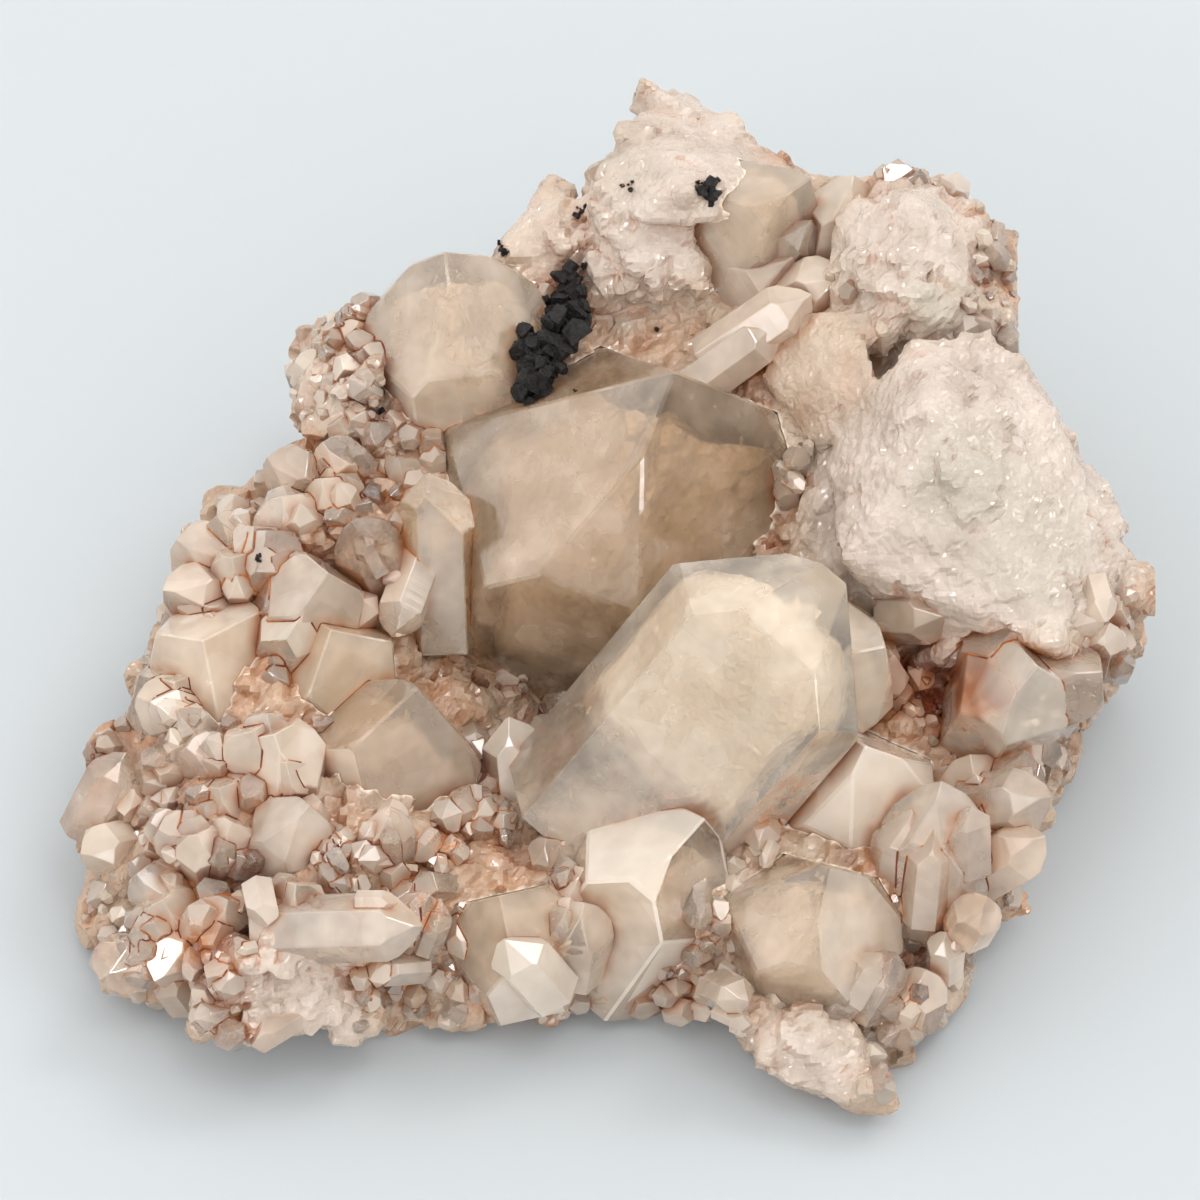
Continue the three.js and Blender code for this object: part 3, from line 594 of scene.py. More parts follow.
def flank_place(round_share, down):
    """A place on the flank: round_share runs from 0 to 1 along the outline, down from the rim to the foot."""
    along = round_share * len(OUTLINE)
    start, end = OUTLINE[int(along) % len(OUTLINE)], OUTLINE[(int(along) + 1) % len(OUTLINE)]
    share = along - int(along)
    rim = seen(*start) + share * (seen(*end) - seen(*start))
    foot = foot_corner(start) + share * (foot_corner(end) - foot_corner(start))
    out = np.array([rim[0], rim[1], 0])
    return rim + down * (foot - rim), unit(out), rim


def block_object(place, out, size, draw):
    """A broken block of rock: a box with tilted faces and four corners struck off."""
    side = np.array([-out[1], out[0], 0])
    axes = [out, side, np.cross(out, side)]
    half = [0.6 * size, size * (0.7 + 0.5 * next(draw)), size * (0.5 + 0.4 * next(draw))]
    normals, distances = [], []
    for i in range(3):
        for sign in (1, -1):
            normal = axes[i] * sign
            for other in (1, 2):
                normal = normal + 0.7 * (next(draw) - 0.5) * axes[(i + other) % 3]
            normals.append(unit(normal))
            distances.append(half[i] * (0.8 + 0.3 * next(draw)))
    for _ in range(4):
        signs = [1 if next(draw) < 0.5 else -1 for _ in axes]
        normal = sum(sign * axis for sign, axis in zip(signs, axes))
        normals.append(unit(normal))
        distances.append(sum(half) / math.sqrt(3) * (0.65 + 0.2 * next(draw)))
    corners, faces = convex_solid(np.array(normals), np.array(distances), place)
    return mesh_object("block", corners, faces)


def flank_blocks():
    draw = sequence(SMALL_SEED + 3)
    made = []
    for i in range(BLOCK_COUNT):
        place, out, rim = flank_place((i + next(draw)) / BLOCK_COUNT, 0.25 + 0.6 * next(draw))
        size = min(3.5 + 4 * next(draw), rim[2] * 0.28 + 0.8)
        made.append(block_object(place - 0.25 * size * out, out, size, draw))
    return made


def flank_crystals(count, seed, shrink):
    """Crystals on the flank, all round, pointing away from the rock."""
    draw = sequence(seed)
    rows = []
    for i in range(count):
        place, out, rim = flank_place((i + next(draw)) / count, 0.1 + 0.75 * next(draw))
        radius = min(1.6 + 2.6 * next(draw), rim[2] * 0.15 + 0.8) * shrink
        tip = place + out * radius * (1.3 if out[1] > 0 else 0.6)
        axis = unit(np.array([out[0], out[1], 0.5 * (next(draw) - 0.2)]))
        lean = math.degrees(math.acos(axis @ NEAR))
        toward = math.degrees(math.atan2(axis @ UP, axis @ ACROSS))
        rows.append((tip, radius, lean, toward, 60 * next(draw), 3 * radius, POINTED, EVEN))
    return rows


def clear_forms():
    """The big clear crystals, as (tip, normals, distances): the rock under their faces is cleared away."""
    forms = []
    for row, (tip, *shape) in zip(CRYSTALS, all_crystals()):
        if shape[0] >= 5.5:
            normals, distances = crystal_planes(*shape[:4], 0.6 * shape[4], *shape[5:])
            forms.append((tip, normals, distances))
    return forms


CLEAR_DEPTH = 0.3  # how far in the milky root starts, in crystal radii
CLEAR_FORMS = clear_forms()
FORM_RADII = {tuple(tip): shape[0] for tip, *shape in all_crystals()}


def rock_object():
    corners = [seen(*OUTLINE_CENTRE, relief_height(*OUTLINE_CENTRE))]
    mid_across, mid_up = OUTLINE_CENTRE
    for ring in RINGS[1:]:
        for a, u, edge_height in OUTLINE:
            across = mid_across + (a - mid_across) * ring
            up = mid_up + (u - mid_up) * ring
            rim = max(0, (ring - 0.8) / 0.2) ** 1.5
            corners.append(seen(across, up, relief_height(across, up) * (1 - rim) + edge_height * rim))
    corners += [foot_corner(row) for row in OUTLINE]
    count = len(OUTLINE)
    faces = []
    for i in range(count):
        j = (i + 1) % count
        faces.append([0, 1 + i, 1 + j])
        for ring in range(len(RINGS) - 1):
            low, high = 1 + ring * count, 1 + (ring + 1) * count
            faces.append([low + i, high + i, high + j])
            faces.append([low + i, high + j, low + j])
    last = 1 + (len(RINGS) - 1) * count
    faces.append([last + i for i in reversed(range(count))])
    return mesh_object("quartz_rock", corners, faces)


LOWEST_SPOT = 0.8  # over the table


def surface_spots(made, area_each, rng):
    """Random places on a mesh, one for each area of that many square millimetres: (place, outward normal)."""
    count = int(sum(face.area for face in made.data.polygons) / MM**2 / area_each)
    made.data.calc_loop_triangles()
    triangles = vertex_places(made)[np.array([t.vertices for t in made.data.loop_triangles])]
    cross = np.cross(triangles[:, 1] - triangles[:, 0], triangles[:, 2] - triangles[:, 0])
    areas = np.linalg.norm(cross, axis=1)
    usable = (areas > 1e-9) & (triangles[:, :, 2].max(1) > LOWEST_SPOT)
    triangles, cross, areas = triangles[usable], cross[usable], areas[usable]
    chosen = rng.choice(len(areas), count, p=areas / areas.sum())
    a, b = rng.random((2, count, 1))
    flip = (a + b) > 1
    a, b = np.where(flip, 1 - a, a), np.where(flip, 1 - b, b)
    picked = triangles[chosen]
    places = picked[:, 0] + a * (picked[:, 1] - picked[:, 0]) + b * (picked[:, 2] - picked[:, 0])
    return list(zip(places, cross[chosen] / areas[chosen][:, None]))


def chip_object(place, out, size, thick, tilt, rng):
    """A broken flake of rock: a tilted slab with its corners struck off."""
    out = unit(out + rng.normal(0, tilt, 3))
    side = unit(np.cross(out, rng.normal(0, 1, 3)))
    third = np.cross(out, side)
    half = size * np.array([thick, 1, rng.uniform(0.45, 0.9)]) / 2
    normals, distances = [], []
    for direction, reach in zip((out, side, third), half):
        for sign in (1, -1):
            normals.append(unit(sign * direction + rng.normal(0, 0.1, 3)))
            distances.append(reach * rng.uniform(0.8, 1.1))
    for _ in range(5):
        signs = rng.choice((-1, 1), 3)
        corner = unit(signs[0] * out * rng.uniform(0, 1) + signs[1] * side + signs[2] * third)
        normals.append(corner)
        reach = float(half @ np.abs([corner @ out, corner @ side, corner @ third]))
        distances.append(reach * rng.uniform(0.6, 0.85))
    corners, faces = convex_solid(np.array(normals), np.array(distances), place)
    return mesh_object("chip", corners, faces) if is_closed(faces) else None


def broken_surface(made, breaks, rng):
    """Broken blocks that stand a little out of a solid's surface."""
    spacing, tilt = breaks
    chips = []
    for place, out in surface_spots(made, spacing, rng):
        if any(outside_by(place, *form) < 1.5 for form in CLEAR_FORMS):
            continue
        size = rng.uniform(2.5, 7)
        proud = rng.uniform(0.2, 0.9)
        chips.append(chip_object(place + (proud - 0.25 * size) * out, out, size, 0.5, tilt, rng))
    return [chip for chip in chips if chip]


def inside_cad_box(made):
    """Moves what the facets raise past the CAD solids' box back to it."""
    places = np.array([vertex.co for vertex in made.data.vertices])
    low, high = (np.array(corner) for corner in cad_box)
    made.data.vertices.foreach_set("co", np.clip(places, low - 0.3 * MM, high + 0.3 * MM).ravel())
    made.data.update()


def milky_root(tip, normals, distances):
    """The cloudy part deep in a crystal: its own form further in, with an uneven surface."""
    radius = FORM_RADII[tuple(tip)]
    further_in = distances - CLEAR_DEPTH * radius
    further_in[0] = distances[0] + 3
    made = even_mesh(mesh_object("root", *convex_solid(normals, further_in, tip)), 0.09 * radius)
    for vertex in made.data.vertices:
        place = vertex.co / MM
        swell = noise.noise(place * 1.3 / radius) + 0.1 * noise.noise(place * 4 / radius)
        vertex.co = vertex.co + vertex.normal * (0.22 * radius * swell * MM)
    return made


def even_mesh(made, edge):
    """The same form with small faces of one size."""
    change = made.modifiers.new("even", "REMESH")
    change.mode = "VOXEL"
    change.voxel_size = edge * MM
    return with_modifier_applied(made)


def facetted(made, rng):
    """Raises and sinks the surface so that it is made of small planes, as broken quartz is."""
    mesh = made.data
    for spacing, height, slope in ROCK_FACETS:
        spots = surface_spots(made, spacing**2, rng)
        tree = KDTree(len(spots))
        for index, (place, _) in enumerate(spots):
            tree.insert(place, index)
        tree.balance()
        centres = np.array([place for place, _ in spots])
        slopes = rng.normal(0, slope, (len(spots), 3))
        heights = rng.uniform(-height, height, len(spots))
        places = vertex_places(made)
        near = np.array([[hit[1] for hit in tree.find_n(place, 3)] for place in places])
        offsets = places[:, None] - centres[near]
        raised = (heights[near] + (slopes[near] * offsets).sum(2)).max(1)
        raised = np.clip(raised - 0.45 * height, -1.3 * height, 1.3 * height)
        raised *= spot_values(places, ROUGH_SPOTS, 1) * np.clip(places[:, 2] / 1.5 - 0.3, 0, 1)
        normals = np.array([vertex.normal for vertex in mesh.vertices])
        mesh.vertices.foreach_set("co", ((places + normals * raised[:, None]) * MM).ravel())
        mesh.update()
    return made


def lump_object(points):
    top = [seen(a, u, relief_height(a, u) + stands) for a, u, stands in points]
    middle = sum(top) / len(top)
    root = [point + LUMP_TAPER * (middle - point) - LUMP_DEPTH * NEAR for point in top]
    shape = bmesh.new()
    for point in top + root:
        shape.verts.new(point * MM)
    bmesh.ops.convex_hull(shape, input=shape.verts)
    mesh = bpy.data.meshes.new("lump")
    loose = [vertex for vertex in shape.verts if not vertex.link_faces]
    bmesh.ops.delete(shape, geom=loose, context="VERTS")
    bmesh.ops.recalc_face_normals(shape, faces=shape.faces)
    shape.to_mesh(mesh)
    shape.free()
    return linked_object("lump", mesh)


def broken_rock():
    """The massive quartz: the rock, its lumps and blocks, and the flakes their surfaces are broken into."""
    rng = np.random.default_rng(7)
    rock = rock_object()
    lumps = [lump_object(points) for points in LUMPS]
    blocks = flank_blocks()
    chips = broken_surface(rock, ROCK_BREAK, rng)
    for lump, breaks in zip(lumps, LUMP_BREAKS):
        chips += broken_surface(lump, breaks, rng)
    for block in blocks:
        chips += broken_surface(block, BLOCK_BREAK, rng)
    whole = boolean(rock, lumps + blocks + chips, "UNION")
    whole = facetted(even_mesh(whole, ROCK_GRAIN), rng)
    inside_cad_box(whole)
    for tip, normals, distances in CLEAR_FORMS:
        boolean(whole, [mesh_object("cleared", *convex_solid(normals, distances + 0.06, tip))], "DIFFERENCE")
    for form in CLEAR_FORMS:
        boolean(whole, [milky_root(*form)], "UNION")
    return cut_off_at_table(whole)


def grown_crystals(rock):
    placed = all_crystals()
    rows = placed + small_crystals() + flank_crystals(FLANK_COUNT, SMALL_SEED + 1, 1) + tiny_crystals(rock)
    rows += flank_crystals(5 * FLANK_COUNT, SMALL_SEED + 4, 0.5) + companion_crystals(placed)
    made = [crystal_object("crystal", row, min(0.25, row[1] * 0.03)) for row in rows]
    made = [crystal for crystal in made if crystal]
    return boolean(made[0], made[1:], "UNION"), rows


def cut_off_at_table(made):
    cutter = mesh_object(
        "under_table",
        np.array([[x, y, z] for x in (-150, 150) for y in (-150, 150) for z in (-60, 0)], float),
        [[0, 1, 3, 2], [4, 6, 7, 5], [0, 4, 5, 1], [2, 3, 7, 6], [0, 2, 6, 4], [1, 5, 7, 3]],
    )
    return boolean(made, [cutter], "DIFFERENCE")


rock = broken_rock()
crystals, crystal_rows = grown_crystals(rock)
cut_off_at_table(crystals)
crystals.name = "quartz_crystals"


def noise_values(places, scale, low, high):
    """Cloudy values from 0 to 1 at these places, for a cloud size given in millimetres."""
    values = np.array([noise.fractal(Vector(place) / scale, 0.9, 2.1, 3) for place in places])
    return np.clip((values - low) / (high - low), 0, 1)


def set_attribute(mesh, name, domain, values, kind="FLOAT", key="value"):
    attribute = mesh.attributes.new(name, kind, domain)
    attribute.data.foreach_set(key, np.asarray(values, np.float32).ravel())


def mark_crystals(made, rows, looks):
    """Gives every face the looks of the crystal it belongs to, and says which faces are prism faces."""
    mesh = made.data
    centres = np.array([face.center for face in mesh.polygons]) / MM
    face_normals = np.array([face.normal for face in mesh.polygons])
    nearest = np.full(len(centres), 1e9)
    owner = np.zeros(len(centres), int)
    axes = []
    for index, (tip, *shape) in enumerate(rows):
        normals, distances = crystal_planes(*shape)
        axes.append(-normals[0])
        near = np.nonzero(np.linalg.norm(centres - tip, axis=1) < shape[4] + 3 * shape[0] + 2)[0]
        away = outside_by(centres[near], tip, normals, distances)
        closer = away < nearest[near]
        nearest[near[closer]] = away[closer]
        owner[near[closer]] = index
    axes = np.array(axes)[owner]
    set_attribute(mesh, "growth", "FACE", axes, "FLOAT_VECTOR", "vector")
    set_attribute(mesh, "prism", "FACE", np.abs((axes * face_normals).sum(1)) < 0.2)
    for column, name in enumerate(LOOK_NAMES):
        set_attribute(mesh, name, "FACE", looks[owner, column])


def closed_pieces(name, solids):
    """One mesh of many small closed solids, each (corners in millimetres, faces)."""
    corners, faces = [], []
    for solid_corners, solid_faces in solids:
        faces += [[len(corners) + i for i in face] for face in solid_faces]
        corners.extend(solid_corners)
    return mesh_object(name, corners, faces)


def prism_faces(count):
    """The faces between a ring of count corners and the next ring, with both ends closed."""
    ends = [list(range(count)), list(reversed(range(count, 2 * count)))]
    return ends + [[i, count + i, count + (i + 1) % count, (i + 1) % count] for i in range(count)]


def iron_lines(made):
    """Thin crusts of iron stain along the lines where two crystals meet."""
    shape = bmesh.new()
    shape.from_mesh(made.data)
    solids = []
    for edge in shape.edges:
        if len(edge.link_faces) != 2 or edge.calc_length() < 0.25 * MM:
            continue
        one, other = edge.link_faces
        inward = (other.calc_center_median() - one.calc_center_median()).dot(one.normal)
        if inward <= 0 or one.normal.dot(other.normal) > 0.94:
            continue
        ends = [np.array(vertex.co) / MM for vertex in edge.verts]
        if min(end[2] for end in ends) < 0.4:
            continue
        strength = noise.noise(Vector(sum(ends) / 2) * 0.12) + STAIN_BIAS
        strength += spot_values(np.array([sum(ends) / 2]), STAIN_SPOTS, 0)[0]
        if strength < 0:
            continue
        radii = [0.04 + 0.16 * min(strength, 0.6) + 0.05 * noise.noise(Vector(end) * 0.9) for end in ends]
        out = np.array((one.normal + other.normal).normalized())
        side = np.cross(unit(ends[1] - ends[0]), out)
        ring = [(out, 1), (side, 1), (out, -1), (side, -1)]
        corners = [
            end + sign * max(radius, 0.02) * way for end, radius in zip(ends, radii) for way, sign in ring
        ]
        solids.append((corners, prism_faces(4)))
    shape.free()
    return solids


def inner_cracks(rows):
    """Healed cracks inside the large clear crystals: wavy sheets of small thin flakes."""
    rng = np.random.default_rng(13)
    solids = []
    for (tip, *shape), placed in zip(rows, CRYSTALS):
        radius, length = shape[0], shape[4]
        if radius < 4:
            continue
        normals, distances = crystal_planes(*shape)
        axis = -normals[0]
        for _ in range(int(3 + radius / 3)):
            middle = tip - axis * rng.uniform(0.2, 1.8) * radius + rng.normal(0, 0.5 * radius, 3)
            sheet = unit(rng.normal(0, 1, 3))
            for _ in range(int(12 + radius * 3)):
                offset = rng.normal(0, 0.28 * radius, 3)
                place = middle + offset - sheet * (offset @ sheet) * 0.9
                size = 0.12 + 0.75 * rng.random() ** 3
                depth = -outside_by(place, tip, normals, distances)
                if not size + 0.3 < depth < 0.36 * radius or place[2] < size + 0.5:
                    continue
                solids.append(flake(place, sheet + rng.normal(0, 0.2, 3), size, rng))
    return closed_pieces("inner_cracks", solids)


def flake(place, normal, size, rng):
    """A thin plate with an uneven edge."""
    normal = unit(normal)
    side = unit(np.cross(normal, rng.normal(0, 1, 3)))
    third = np.cross(normal, side)
    count = int(rng.integers(5, 8))
    turns = np.sort(rng.uniform(0, 2 * math.pi, count))
    rim = [place + size * rng.uniform(0.5, 1) * (math.cos(t) * side + math.sin(t) * third) for t in turns]
    corners = [point + 0.02 * normal for point in rim] + [point - 0.02 * normal for point in rim]
    return corners, prism_faces(count)


def ore_lump(centre, radius, rng):
    """A grain of ore: blocky pieces grown through each other."""
    made = []
    for _ in range(int(6 + 5 * radius)):
        offset = rng.normal(0, 0.43 * radius, 3)
        size = radius * rng.uniform(0.5, 1.3)
        made.append(chip_object(centre + offset, unit(offset), size, 0.7, 0.5, rng))
    return [block for block in made if block]


def ore_piece(name, rows):
    rng = np.random.default_rng(23)
    grains = []
    for across, up, stands, radius in rows:
        centre = seen(across, up, relief_height(across, up) + stands)
        grains += ore_lump(centre, radius * ORE_FULLNESS, rng)
    made = boolean(grains[0], grains[1:], "UNION")
    made.name = name
    return made


def ore_specks(objects):
    """Small black grains on the quartz."""
    bpy.context.view_layer.update()
    rng = np.random.default_rng(17)
    grains = []
    for across, up, radius in ORE_SPECKS:
        place = seen_surface(across, up, objects)
        if place is not None:
            grains += ore_lump(place, radius * rng.uniform(0.85, 1.1), rng)
    made = boolean(grains[0], grains[1:], "UNION")
    made.name = "black_ore_specks"
    return made


class Nodes:
    """Short calls for making a material's nodes."""

    def __init__(self, name, world=None):
        self.material = world or bpy.data.materials.new(name)
        self.material.use_nodes = True
        self.tree = self.material.node_tree
        self.shader = self.tree.nodes.get("Principled BSDF")
        self.output = self.tree.nodes.get("Material Output")

    def node(self, kind, settings=None, **inputs):
        made = self.tree.nodes.new("ShaderNode" + kind)
        for key, value in (settings or {}).items():
            setattr(made, key, value)
        for key, value in inputs.items():
            numbered = key[0] == "i" and key[1:].isdigit()
            self.feed(made.inputs[int(key[1:]) if numbered else key], value)
        return made

    def feed(self, socket, value):
        if isinstance(value, bpy.types.NodeSocket):
            self.tree.links.new(value, socket)
        elif isinstance(value, bpy.types.Node):
            self.tree.links.new(value.outputs[0], socket)
        else:
            socket.default_value = value

    def set(self, **inputs):
        for key, value in inputs.items():
            self.feed(self.shader.inputs[key.replace("_", " ")], value)

    def attribute(self, name, output="Fac"):
        return self.node("Attribute", {"attribute_name": name}).outputs[output]

    def place(self):
        return self.node("NewGeometry").outputs["Position"]

    def noise(self, scale, detail=3, roughness=0.55):
        made = self.node("TexNoise", Vector=self.place(), Scale=scale, Detail=detail, Roughness=roughness)
        return made.outputs["Fac"]

    def cells(self, scale, output="Distance"):
        made = self.node("TexVoronoi", {"distance": "CHEBYCHEV"}, Vector=self.place(), Scale=scale)
        return made.outputs[output]

    def ramp(self, value, low, high, out_low=0.0, out_high=1.0):
        made = self.node("MapRange", {"clamp": True}, i0=value, i1=low, i2=high, i3=out_low, i4=out_high)
        return made.outputs[0]

    def math(self, operation, a, b=0.0):
        return self.node("Math", {"operation": operation}, i0=a, i1=b).outputs[0]

    def mix(self, share, a, b):
        made = self.node("Mix", {"data_type": "RGBA"})
        self.feed(made.inputs[0], share)
        for socket, value in ((made.inputs[6], a), (made.inputs[7], b)):
            self.feed(socket, (*value, 1) if isinstance(value, tuple) and len(value) == 3 else value)
        return made.outputs[2]

    def bump(self, height, distance, strength):
        return self.node("Bump", Height=height, Distance=distance, Strength=strength).outputs["Normal"]

    def hollows(self, reach):
        """1 in narrow hollows and where faces meet inwards, 0 in the open."""
        made = self.node("AmbientOcclusion", {"samples": 1, "only_local": False}, Distance=reach)
        return self.math("SUBTRACT", 1.0, made.outputs["AO"])


def rust_share(nodes, patches, reach, start):
    """Where iron stains the quartz: in hollows narrower than start says, and there mostly in patches."""
    stain = nodes.attribute("stain")
    hollow = nodes.ramp(nodes.hollows(reach), start, start + 0.35)
    wide = nodes.math("MULTIPLY", nodes.math("MULTIPLY", hollow, 1.3), nodes.math("ADD", patches, stain))
    uneven = nodes.ramp(patches, 0, 1, 0.35, 1.2)
    open_stain = nodes.math("MULTIPLY", nodes.math("SUBTRACT", stain, 0.5), uneven)
    return nodes.ramp(nodes.math("ADD", wide, nodes.math("MAXIMUM", open_stain, 0.0)), 0, 1, 0, 0.95)


RUST_PALE = (0.48, 0.155, 0.022)
RUST_DARK = (0.16, 0.026, 0.004)


def rust_colour(nodes, tone):
    return nodes.mix(tone, RUST_PALE, RUST_DARK)


def rock_material():
    nodes = Nodes("milky_quartz")
    white, milk, cloud = (nodes.attribute(name) for name in ("white", "milk", "cloud"))
    pale = nodes.mix(cloud, (0.50, 0.385, 0.28), (0.37, 0.26, 0.17))
    bright = nodes.mix(cloud, (0.60, 0.52, 0.46), (0.47, 0.395, 0.335))
    broken = nodes.mix(nodes.attribute("glass"), nodes.mix(white, pale, bright), (0.42, 0.385, 0.31))
    body = nodes.mix(milk, broken, (0.86, 0.755, 0.62))
    soaked = nodes.math("MULTIPLY", nodes.attribute("soaked"), nodes.math("SUBTRACT", 0.6, white))
    rust = nodes.math("MAXIMUM", rust_share(nodes, nodes.attribute("patches"), 0.0022, 0.4), soaked)
    rust = nodes.math("MULTIPLY", rust, nodes.math("SUBTRACT", 1.0, milk))
    tone = nodes.math("MAXIMUM", cloud, nodes.ramp(nodes.attribute("stain"), 0.7, 1.3))
    nodes.set(
        Base_Color=nodes.mix(rust, body, rust_colour(nodes, tone)),
        Roughness=nodes.ramp(nodes.cells(1500, output="Color"), 0.2, 0.8, 0.06, 0.5),
        Normal=nodes.bump(nodes.cells(800), 0.00045, 0.6),
        IOR=1.544,
    )
    return nodes.material


def stained_faces(nodes, noisy, centres):
    """1 near the places where iron stains the crystals' faces, with an uneven edge."""
    stained = 0.0
    for centre, (_, _, reach) in zip(centres, STAINED_FACES):
        away = nodes.node("VectorMath", {"operation": "DISTANCE"}, i0=nodes.place(), i1=centre * MM)
        near = nodes.ramp(away.outputs["Value"], 0.2 * reach * MM, reach * MM, 1, 0)
        stained = nodes.math("MAXIMUM", stained, near)
    return nodes.math("MULTIPLY", stained, nodes.ramp(noisy, 0.42, 0.56, 0, 0.95))


def crystal_material(stained_centres):
    nodes = Nodes("clear_quartz")
    clarity, smoke, peach, honey = (nodes.attribute(name) for name in LOOK_NAMES)
    tint = nodes.mix(smoke, (0.94, 0.84, 0.72), (0.56, 0.385, 0.235))
    cloud = nodes.ramp(nodes.noise(110, 3, 0.6), 0.4, 0.75)
    veils = nodes.ramp(nodes.node("TexVoronoi", Vector=nodes.place(), Scale=340).outputs["Color"], 0.3, 0.8)
    for layer, share, colour in (
        (peach, 0.5, (0.80, 0.58, 0.43)), (honey, 0.6, (0.86, 0.64, 0.34)),
        (cloud, 0.35, (0.90, 0.79, 0.68)), (veils, 0.1, (0.95, 0.90, 0.84)),
    ):
        tint = nodes.mix(nodes.ramp(layer, 0, 1, 0, share), tint, colour)
    patches = nodes.noise(95, 3, 0.6)
    rust = rust_share(nodes, nodes.ramp(patches, 0.42, 0.58), 0.0014, 0.25)
    rust = nodes.math("MAXIMUM", rust, stained_faces(nodes, nodes.noise(520, 3, 0.6), stained_centres))
    along = nodes.node(
        "VectorMath", {"operation": "DOT_PRODUCT"}, i0=nodes.place(), i1=nodes.attribute("growth", "Vector")
    ).outputs["Value"]
    lines = nodes.node("TexNoise", {"noise_dimensions": "1D"}, W=along, Scale=1900, Detail=2.0).outputs["Fac"]
    lines = nodes.math("MULTIPLY", lines, nodes.attribute("prism"))
    hills = nodes.noise(420, 1)
    height = nodes.math("ADD", nodes.math("MULTIPLY", lines, 0.35), nodes.math("MULTIPLY", hills, 0.5))
    clear = nodes.math("MULTIPLY", clarity, nodes.ramp(cloud, 0, 1, 1, 0.6))
    clear = nodes.math("MULTIPLY", clear, nodes.ramp(veils, 0, 1, 1, 0.95))
    clear = nodes.math("MULTIPLY", clear, nodes.math("SUBTRACT", 1.0, rust))
    frost = nodes.ramp(cloud, 0.2, 1, 0.12, 0.3)
    nodes.set(
        Base_Color=nodes.mix(rust, tint, rust_colour(nodes, nodes.ramp(patches, 0.45, 0.65))),
        Roughness=nodes.math("ADD", frost, nodes.math("MULTIPLY", rust, 0.4)),
        Transmission_Weight=clear,
        Normal=nodes.bump(height, 0.00012, 0.6),
        IOR=1.544, Coat_Weight=0.6, Coat_Roughness=0.03,
    )
    absorb = nodes.node("VolumeAbsorption", Color=(0.80, 0.62, 0.44, 1), Density=13.0)
    nodes.tree.links.new(absorb.outputs[0], nodes.output.inputs["Volume"])
    return nodes.material


def crack_material():
    nodes = Nodes("inner_crack")
    nodes.set(
        Base_Color=nodes.mix(nodes.noise(300, 2), (1.0, 0.95, 0.86), (0.95, 0.78, 0.5)),
        Roughness=nodes.ramp(nodes.noise(900, 2), 0.3, 0.7, 0.1, 0.4),
        IOR=1.9,
    )
    return nodes.material


def stain_material():
    nodes = Nodes("iron_crust")
    nodes.set(
        Base_Color=rust_colour(nodes, nodes.ramp(nodes.noise(240, 3), 0.38, 0.55)),
        Roughness=nodes.ramp(nodes.noise(1200, 3), 0.3, 0.7, 0.45, 0.85),
        Normal=nodes.bump(nodes.noise(4000, 3), 0.0001, 0.7),
    )
    return nodes.material


def ore_material():
    nodes = Nodes("black_ore")
    grains = nodes.cells(1400)
    nodes.set(
        Base_Color=nodes.mix(nodes.noise(700, 4), (0.004, 0.004, 0.004), (0.022, 0.020, 0.019)),
        Roughness=nodes.ramp(grains, 0, 0.8, 0.3, 0.8),
        Normal=nodes.bump(nodes.math("ADD", grains, nodes.noise(2600, 4)), 0.0003, 0.9),
        Specular_IOR_Level=0.22,
    )
    return nodes.material


def crystal_looks(rows):
    """How clear, smoky, peach and honey-yellow each crystal is: as listed, the others by chance."""
    rng = np.random.default_rng(11)
    count = len(rows)
    looks = np.column_stack([
        rng.uniform(0.45, 0.9, count),
        rng.uniform(0, 0.4, count),
        rng.uniform(0, 1, count),
        rng.uniform(0, 0.5, count) ** 2,
    ])
    for index, placed in enumerate(CRYSTALS):
        looks[index] = LOOKS.get(tuple(placed[:2]), looks[index])
    return looks


def dress(made, material, node):
    """Gives a piece its material, hangs it under the root body, and hides the CAD node it stands for."""
    made.data.materials.clear()
    made.data.materials.append(material)
    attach(made, "root")
    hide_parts(node)


set_attribute(crystals.data, "stain", "POINT", spot_values(vertex_places(crystals), STAIN_SPOTS, 0))
mark_crystals(crystals, crystal_rows, crystal_looks(crystal_rows))
places = vertex_places(rock)
rock_looks = {
    "stain": spot_values(places, STAIN_SPOTS, 0),
    "white": spot_values(places, ROCK_TONES, 0.1),
    "glass": spot_values(places, GLASS_SPOTS, 0),
    "milk": np.min([outside_by(places, *form) for form in CLEAR_FORMS], axis=0) < 0.1,
    "cloud": noise_values(places, 5, -0.5, 0.6),
    "soaked": noise_values(places, 8, -0.25, 0.6),
    "patches": noise_values(places, 5.5, -0.15, 0.3),
}
for name, values in rock_looks.items():
    set_attribute(rock.data, name, "POINT", values)
ore = ore_material()
dress(ore_specks([rock, crystals]), ore, "black_ore_grain")
dress(ore_piece("black_ore", ORE_CLUMP), ore, "black_ore_clump")
dress(ore_piece("black_ore_top", ORE_GRAIN), ore, "black_ore_grain")
dress(closed_pieces("iron_stain", iron_lines(crystals)), stain_material(), "quartz_cluster")
dress(inner_cracks(crystal_rows), crack_material(), "quartz_cluster")
dress(rock, rock_material(), "quartz_cluster")
stained_centres = [seen_surface(across, up, [rock, crystals]) for across, up, _ in STAINED_FACES]
dress(crystals, crystal_material(stained_centres), "quartz_cluster")

# Floor, light and camera

TENT_STRENGTH = 1.35
# The panels: [the way to them, half their angle in degrees, radiance]
PANELS = [
    [(-420, 126, 238), 18, 0.6], [(300, 206, 438), 9, 6], [(-260, -414, 308), 7, 5], [(120, -114, 618), 7, 5],
]
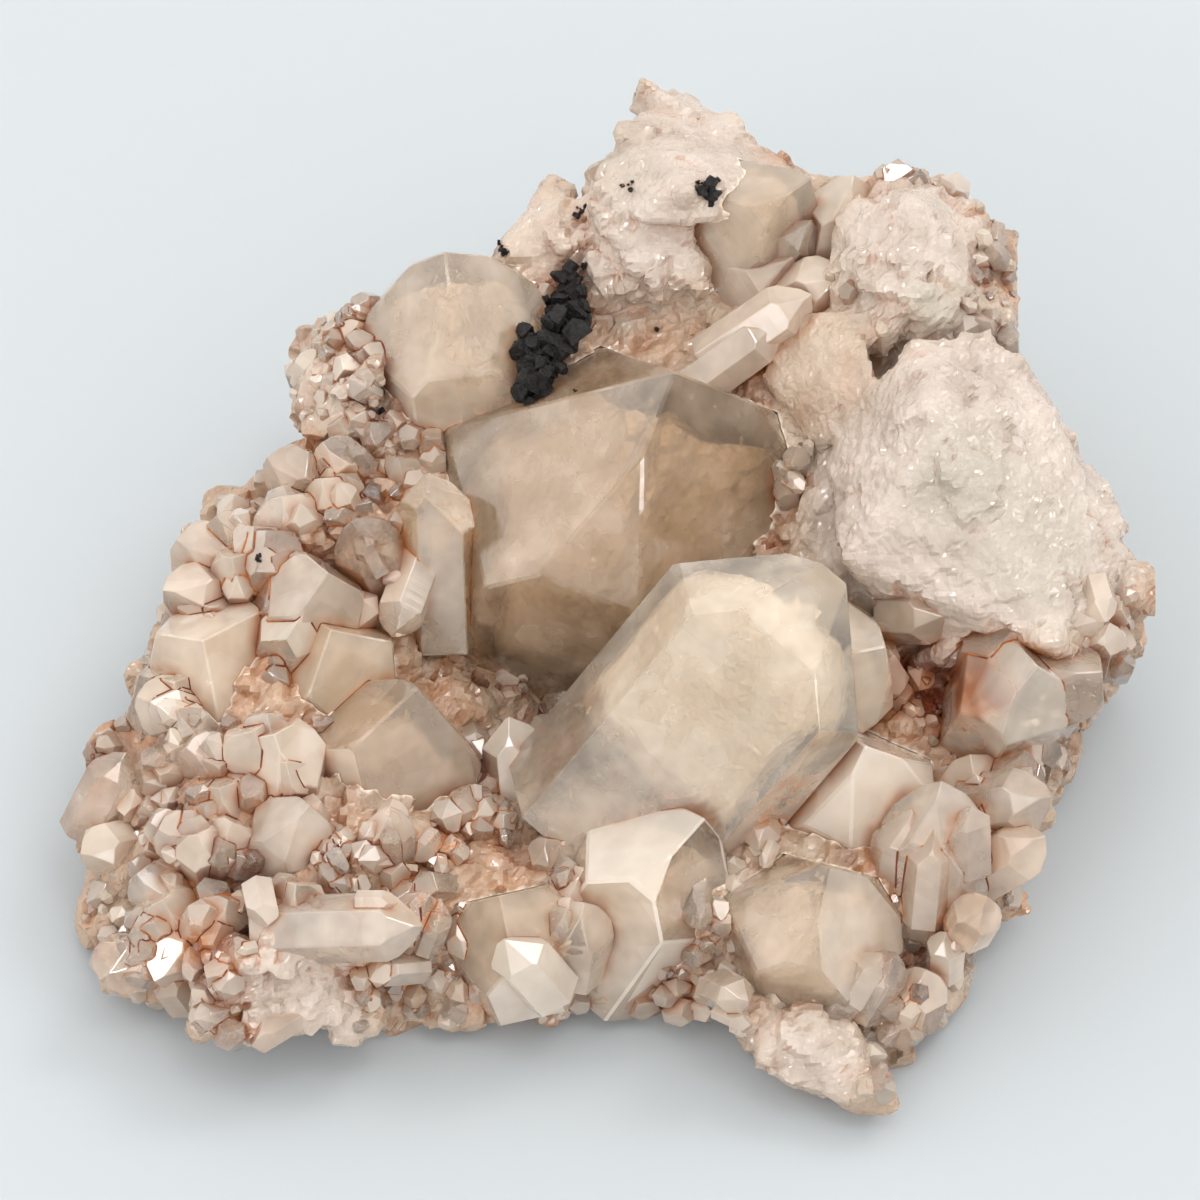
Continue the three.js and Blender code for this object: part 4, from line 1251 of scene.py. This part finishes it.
# Small bright panels that only glossy faces show, as glints: [the way to them, half their angle in degrees]
GLINTS = [
    [(-135, 0, 600), 5], [(250, -350, 450), 4], [(-450, -50, 420), 4], [(60, 250, 600), 5],
    [(420, 180, 330), 4], [(150, -560, 250), 4], [(330, -500, 160), 4], [(-300, 300, 520), 4],
    [(-420, -330, 120), 4],
]
GLINT_RADIANCE = 16
PANEL_BLUR = 1.5


def studio_world():
    """A bright tent all round, with softer and harder bright panels in it."""
    nodes = Nodes("studio_panels", bpy.data.worlds.new("studio"))
    direction = nodes.node("TexCoord").outputs["Generated"]
    strength = TENT_STRENGTH
    glossy = nodes.math("MULTIPLY", nodes.node("LightPath").outputs["Is Glossy Ray"], GLINT_RADIANCE)
    for towards, half_angle, radiance in PANELS + [[*glint, glossy] for glint in GLINTS]:
        way = Vector(towards).normalized()
        facing = nodes.node("VectorMath", {"operation": "DOT_PRODUCT"}, i0=direction, i1=way)
        inner, outer = (math.cos(math.radians(half_angle + soft)) for soft in (-PANEL_BLUR, PANEL_BLUR))
        panel = nodes.ramp(facing.outputs["Value"], outer, inner, 0, radiance)
        strength = nodes.math("ADD", panel, strength)
    background = nodes.tree.nodes["Background"]
    background.inputs["Color"].default_value = (1, 0.98, 0.965, 1)
    nodes.feed(background.inputs["Strength"], strength)
    nodes.material.cycles.sampling_method = "NONE"
    return nodes.material


FLOOR_REACH = 2500
floor_corners = FLOOR_REACH * np.array([[-1, -1, 0], [1, -1, 0], [1, 1, 0], [-1, 1, 0]], float)
floor = mesh_object("floor", floor_corners, [[0, 1, 2, 3]])
paper = Nodes("floor_paper")
paper.set(Base_Color=(0.485, 0.525, 0.548, 1), Roughness=0.9)
floor.data.materials.append(paper.material)

bpy.context.scene.world = studio_world()

camera_data = bpy.data.cameras.new("camera")
camera_data.sensor_width = 36
camera_data.lens = 36 * VIEW_DISTANCE / FRAME_WIDTH
camera_data.clip_start = 0.05
camera_data.clip_end = 20
camera = linked_object("camera", camera_data)
camera.location = Vector(EYE) * MM
camera.rotation_euler = (Vector(AIM) * MM - camera.location).to_track_quat("-Z", "Y").to_euler()
bpy.context.scene.camera = camera
bpy.context.scene.view_settings.view_transform = "Standard"
paths = bpy.context.scene.cycles
paths.max_bounces, paths.diffuse_bounces, paths.glossy_bounces, paths.transmission_bounces = 7, 2, 3, 6
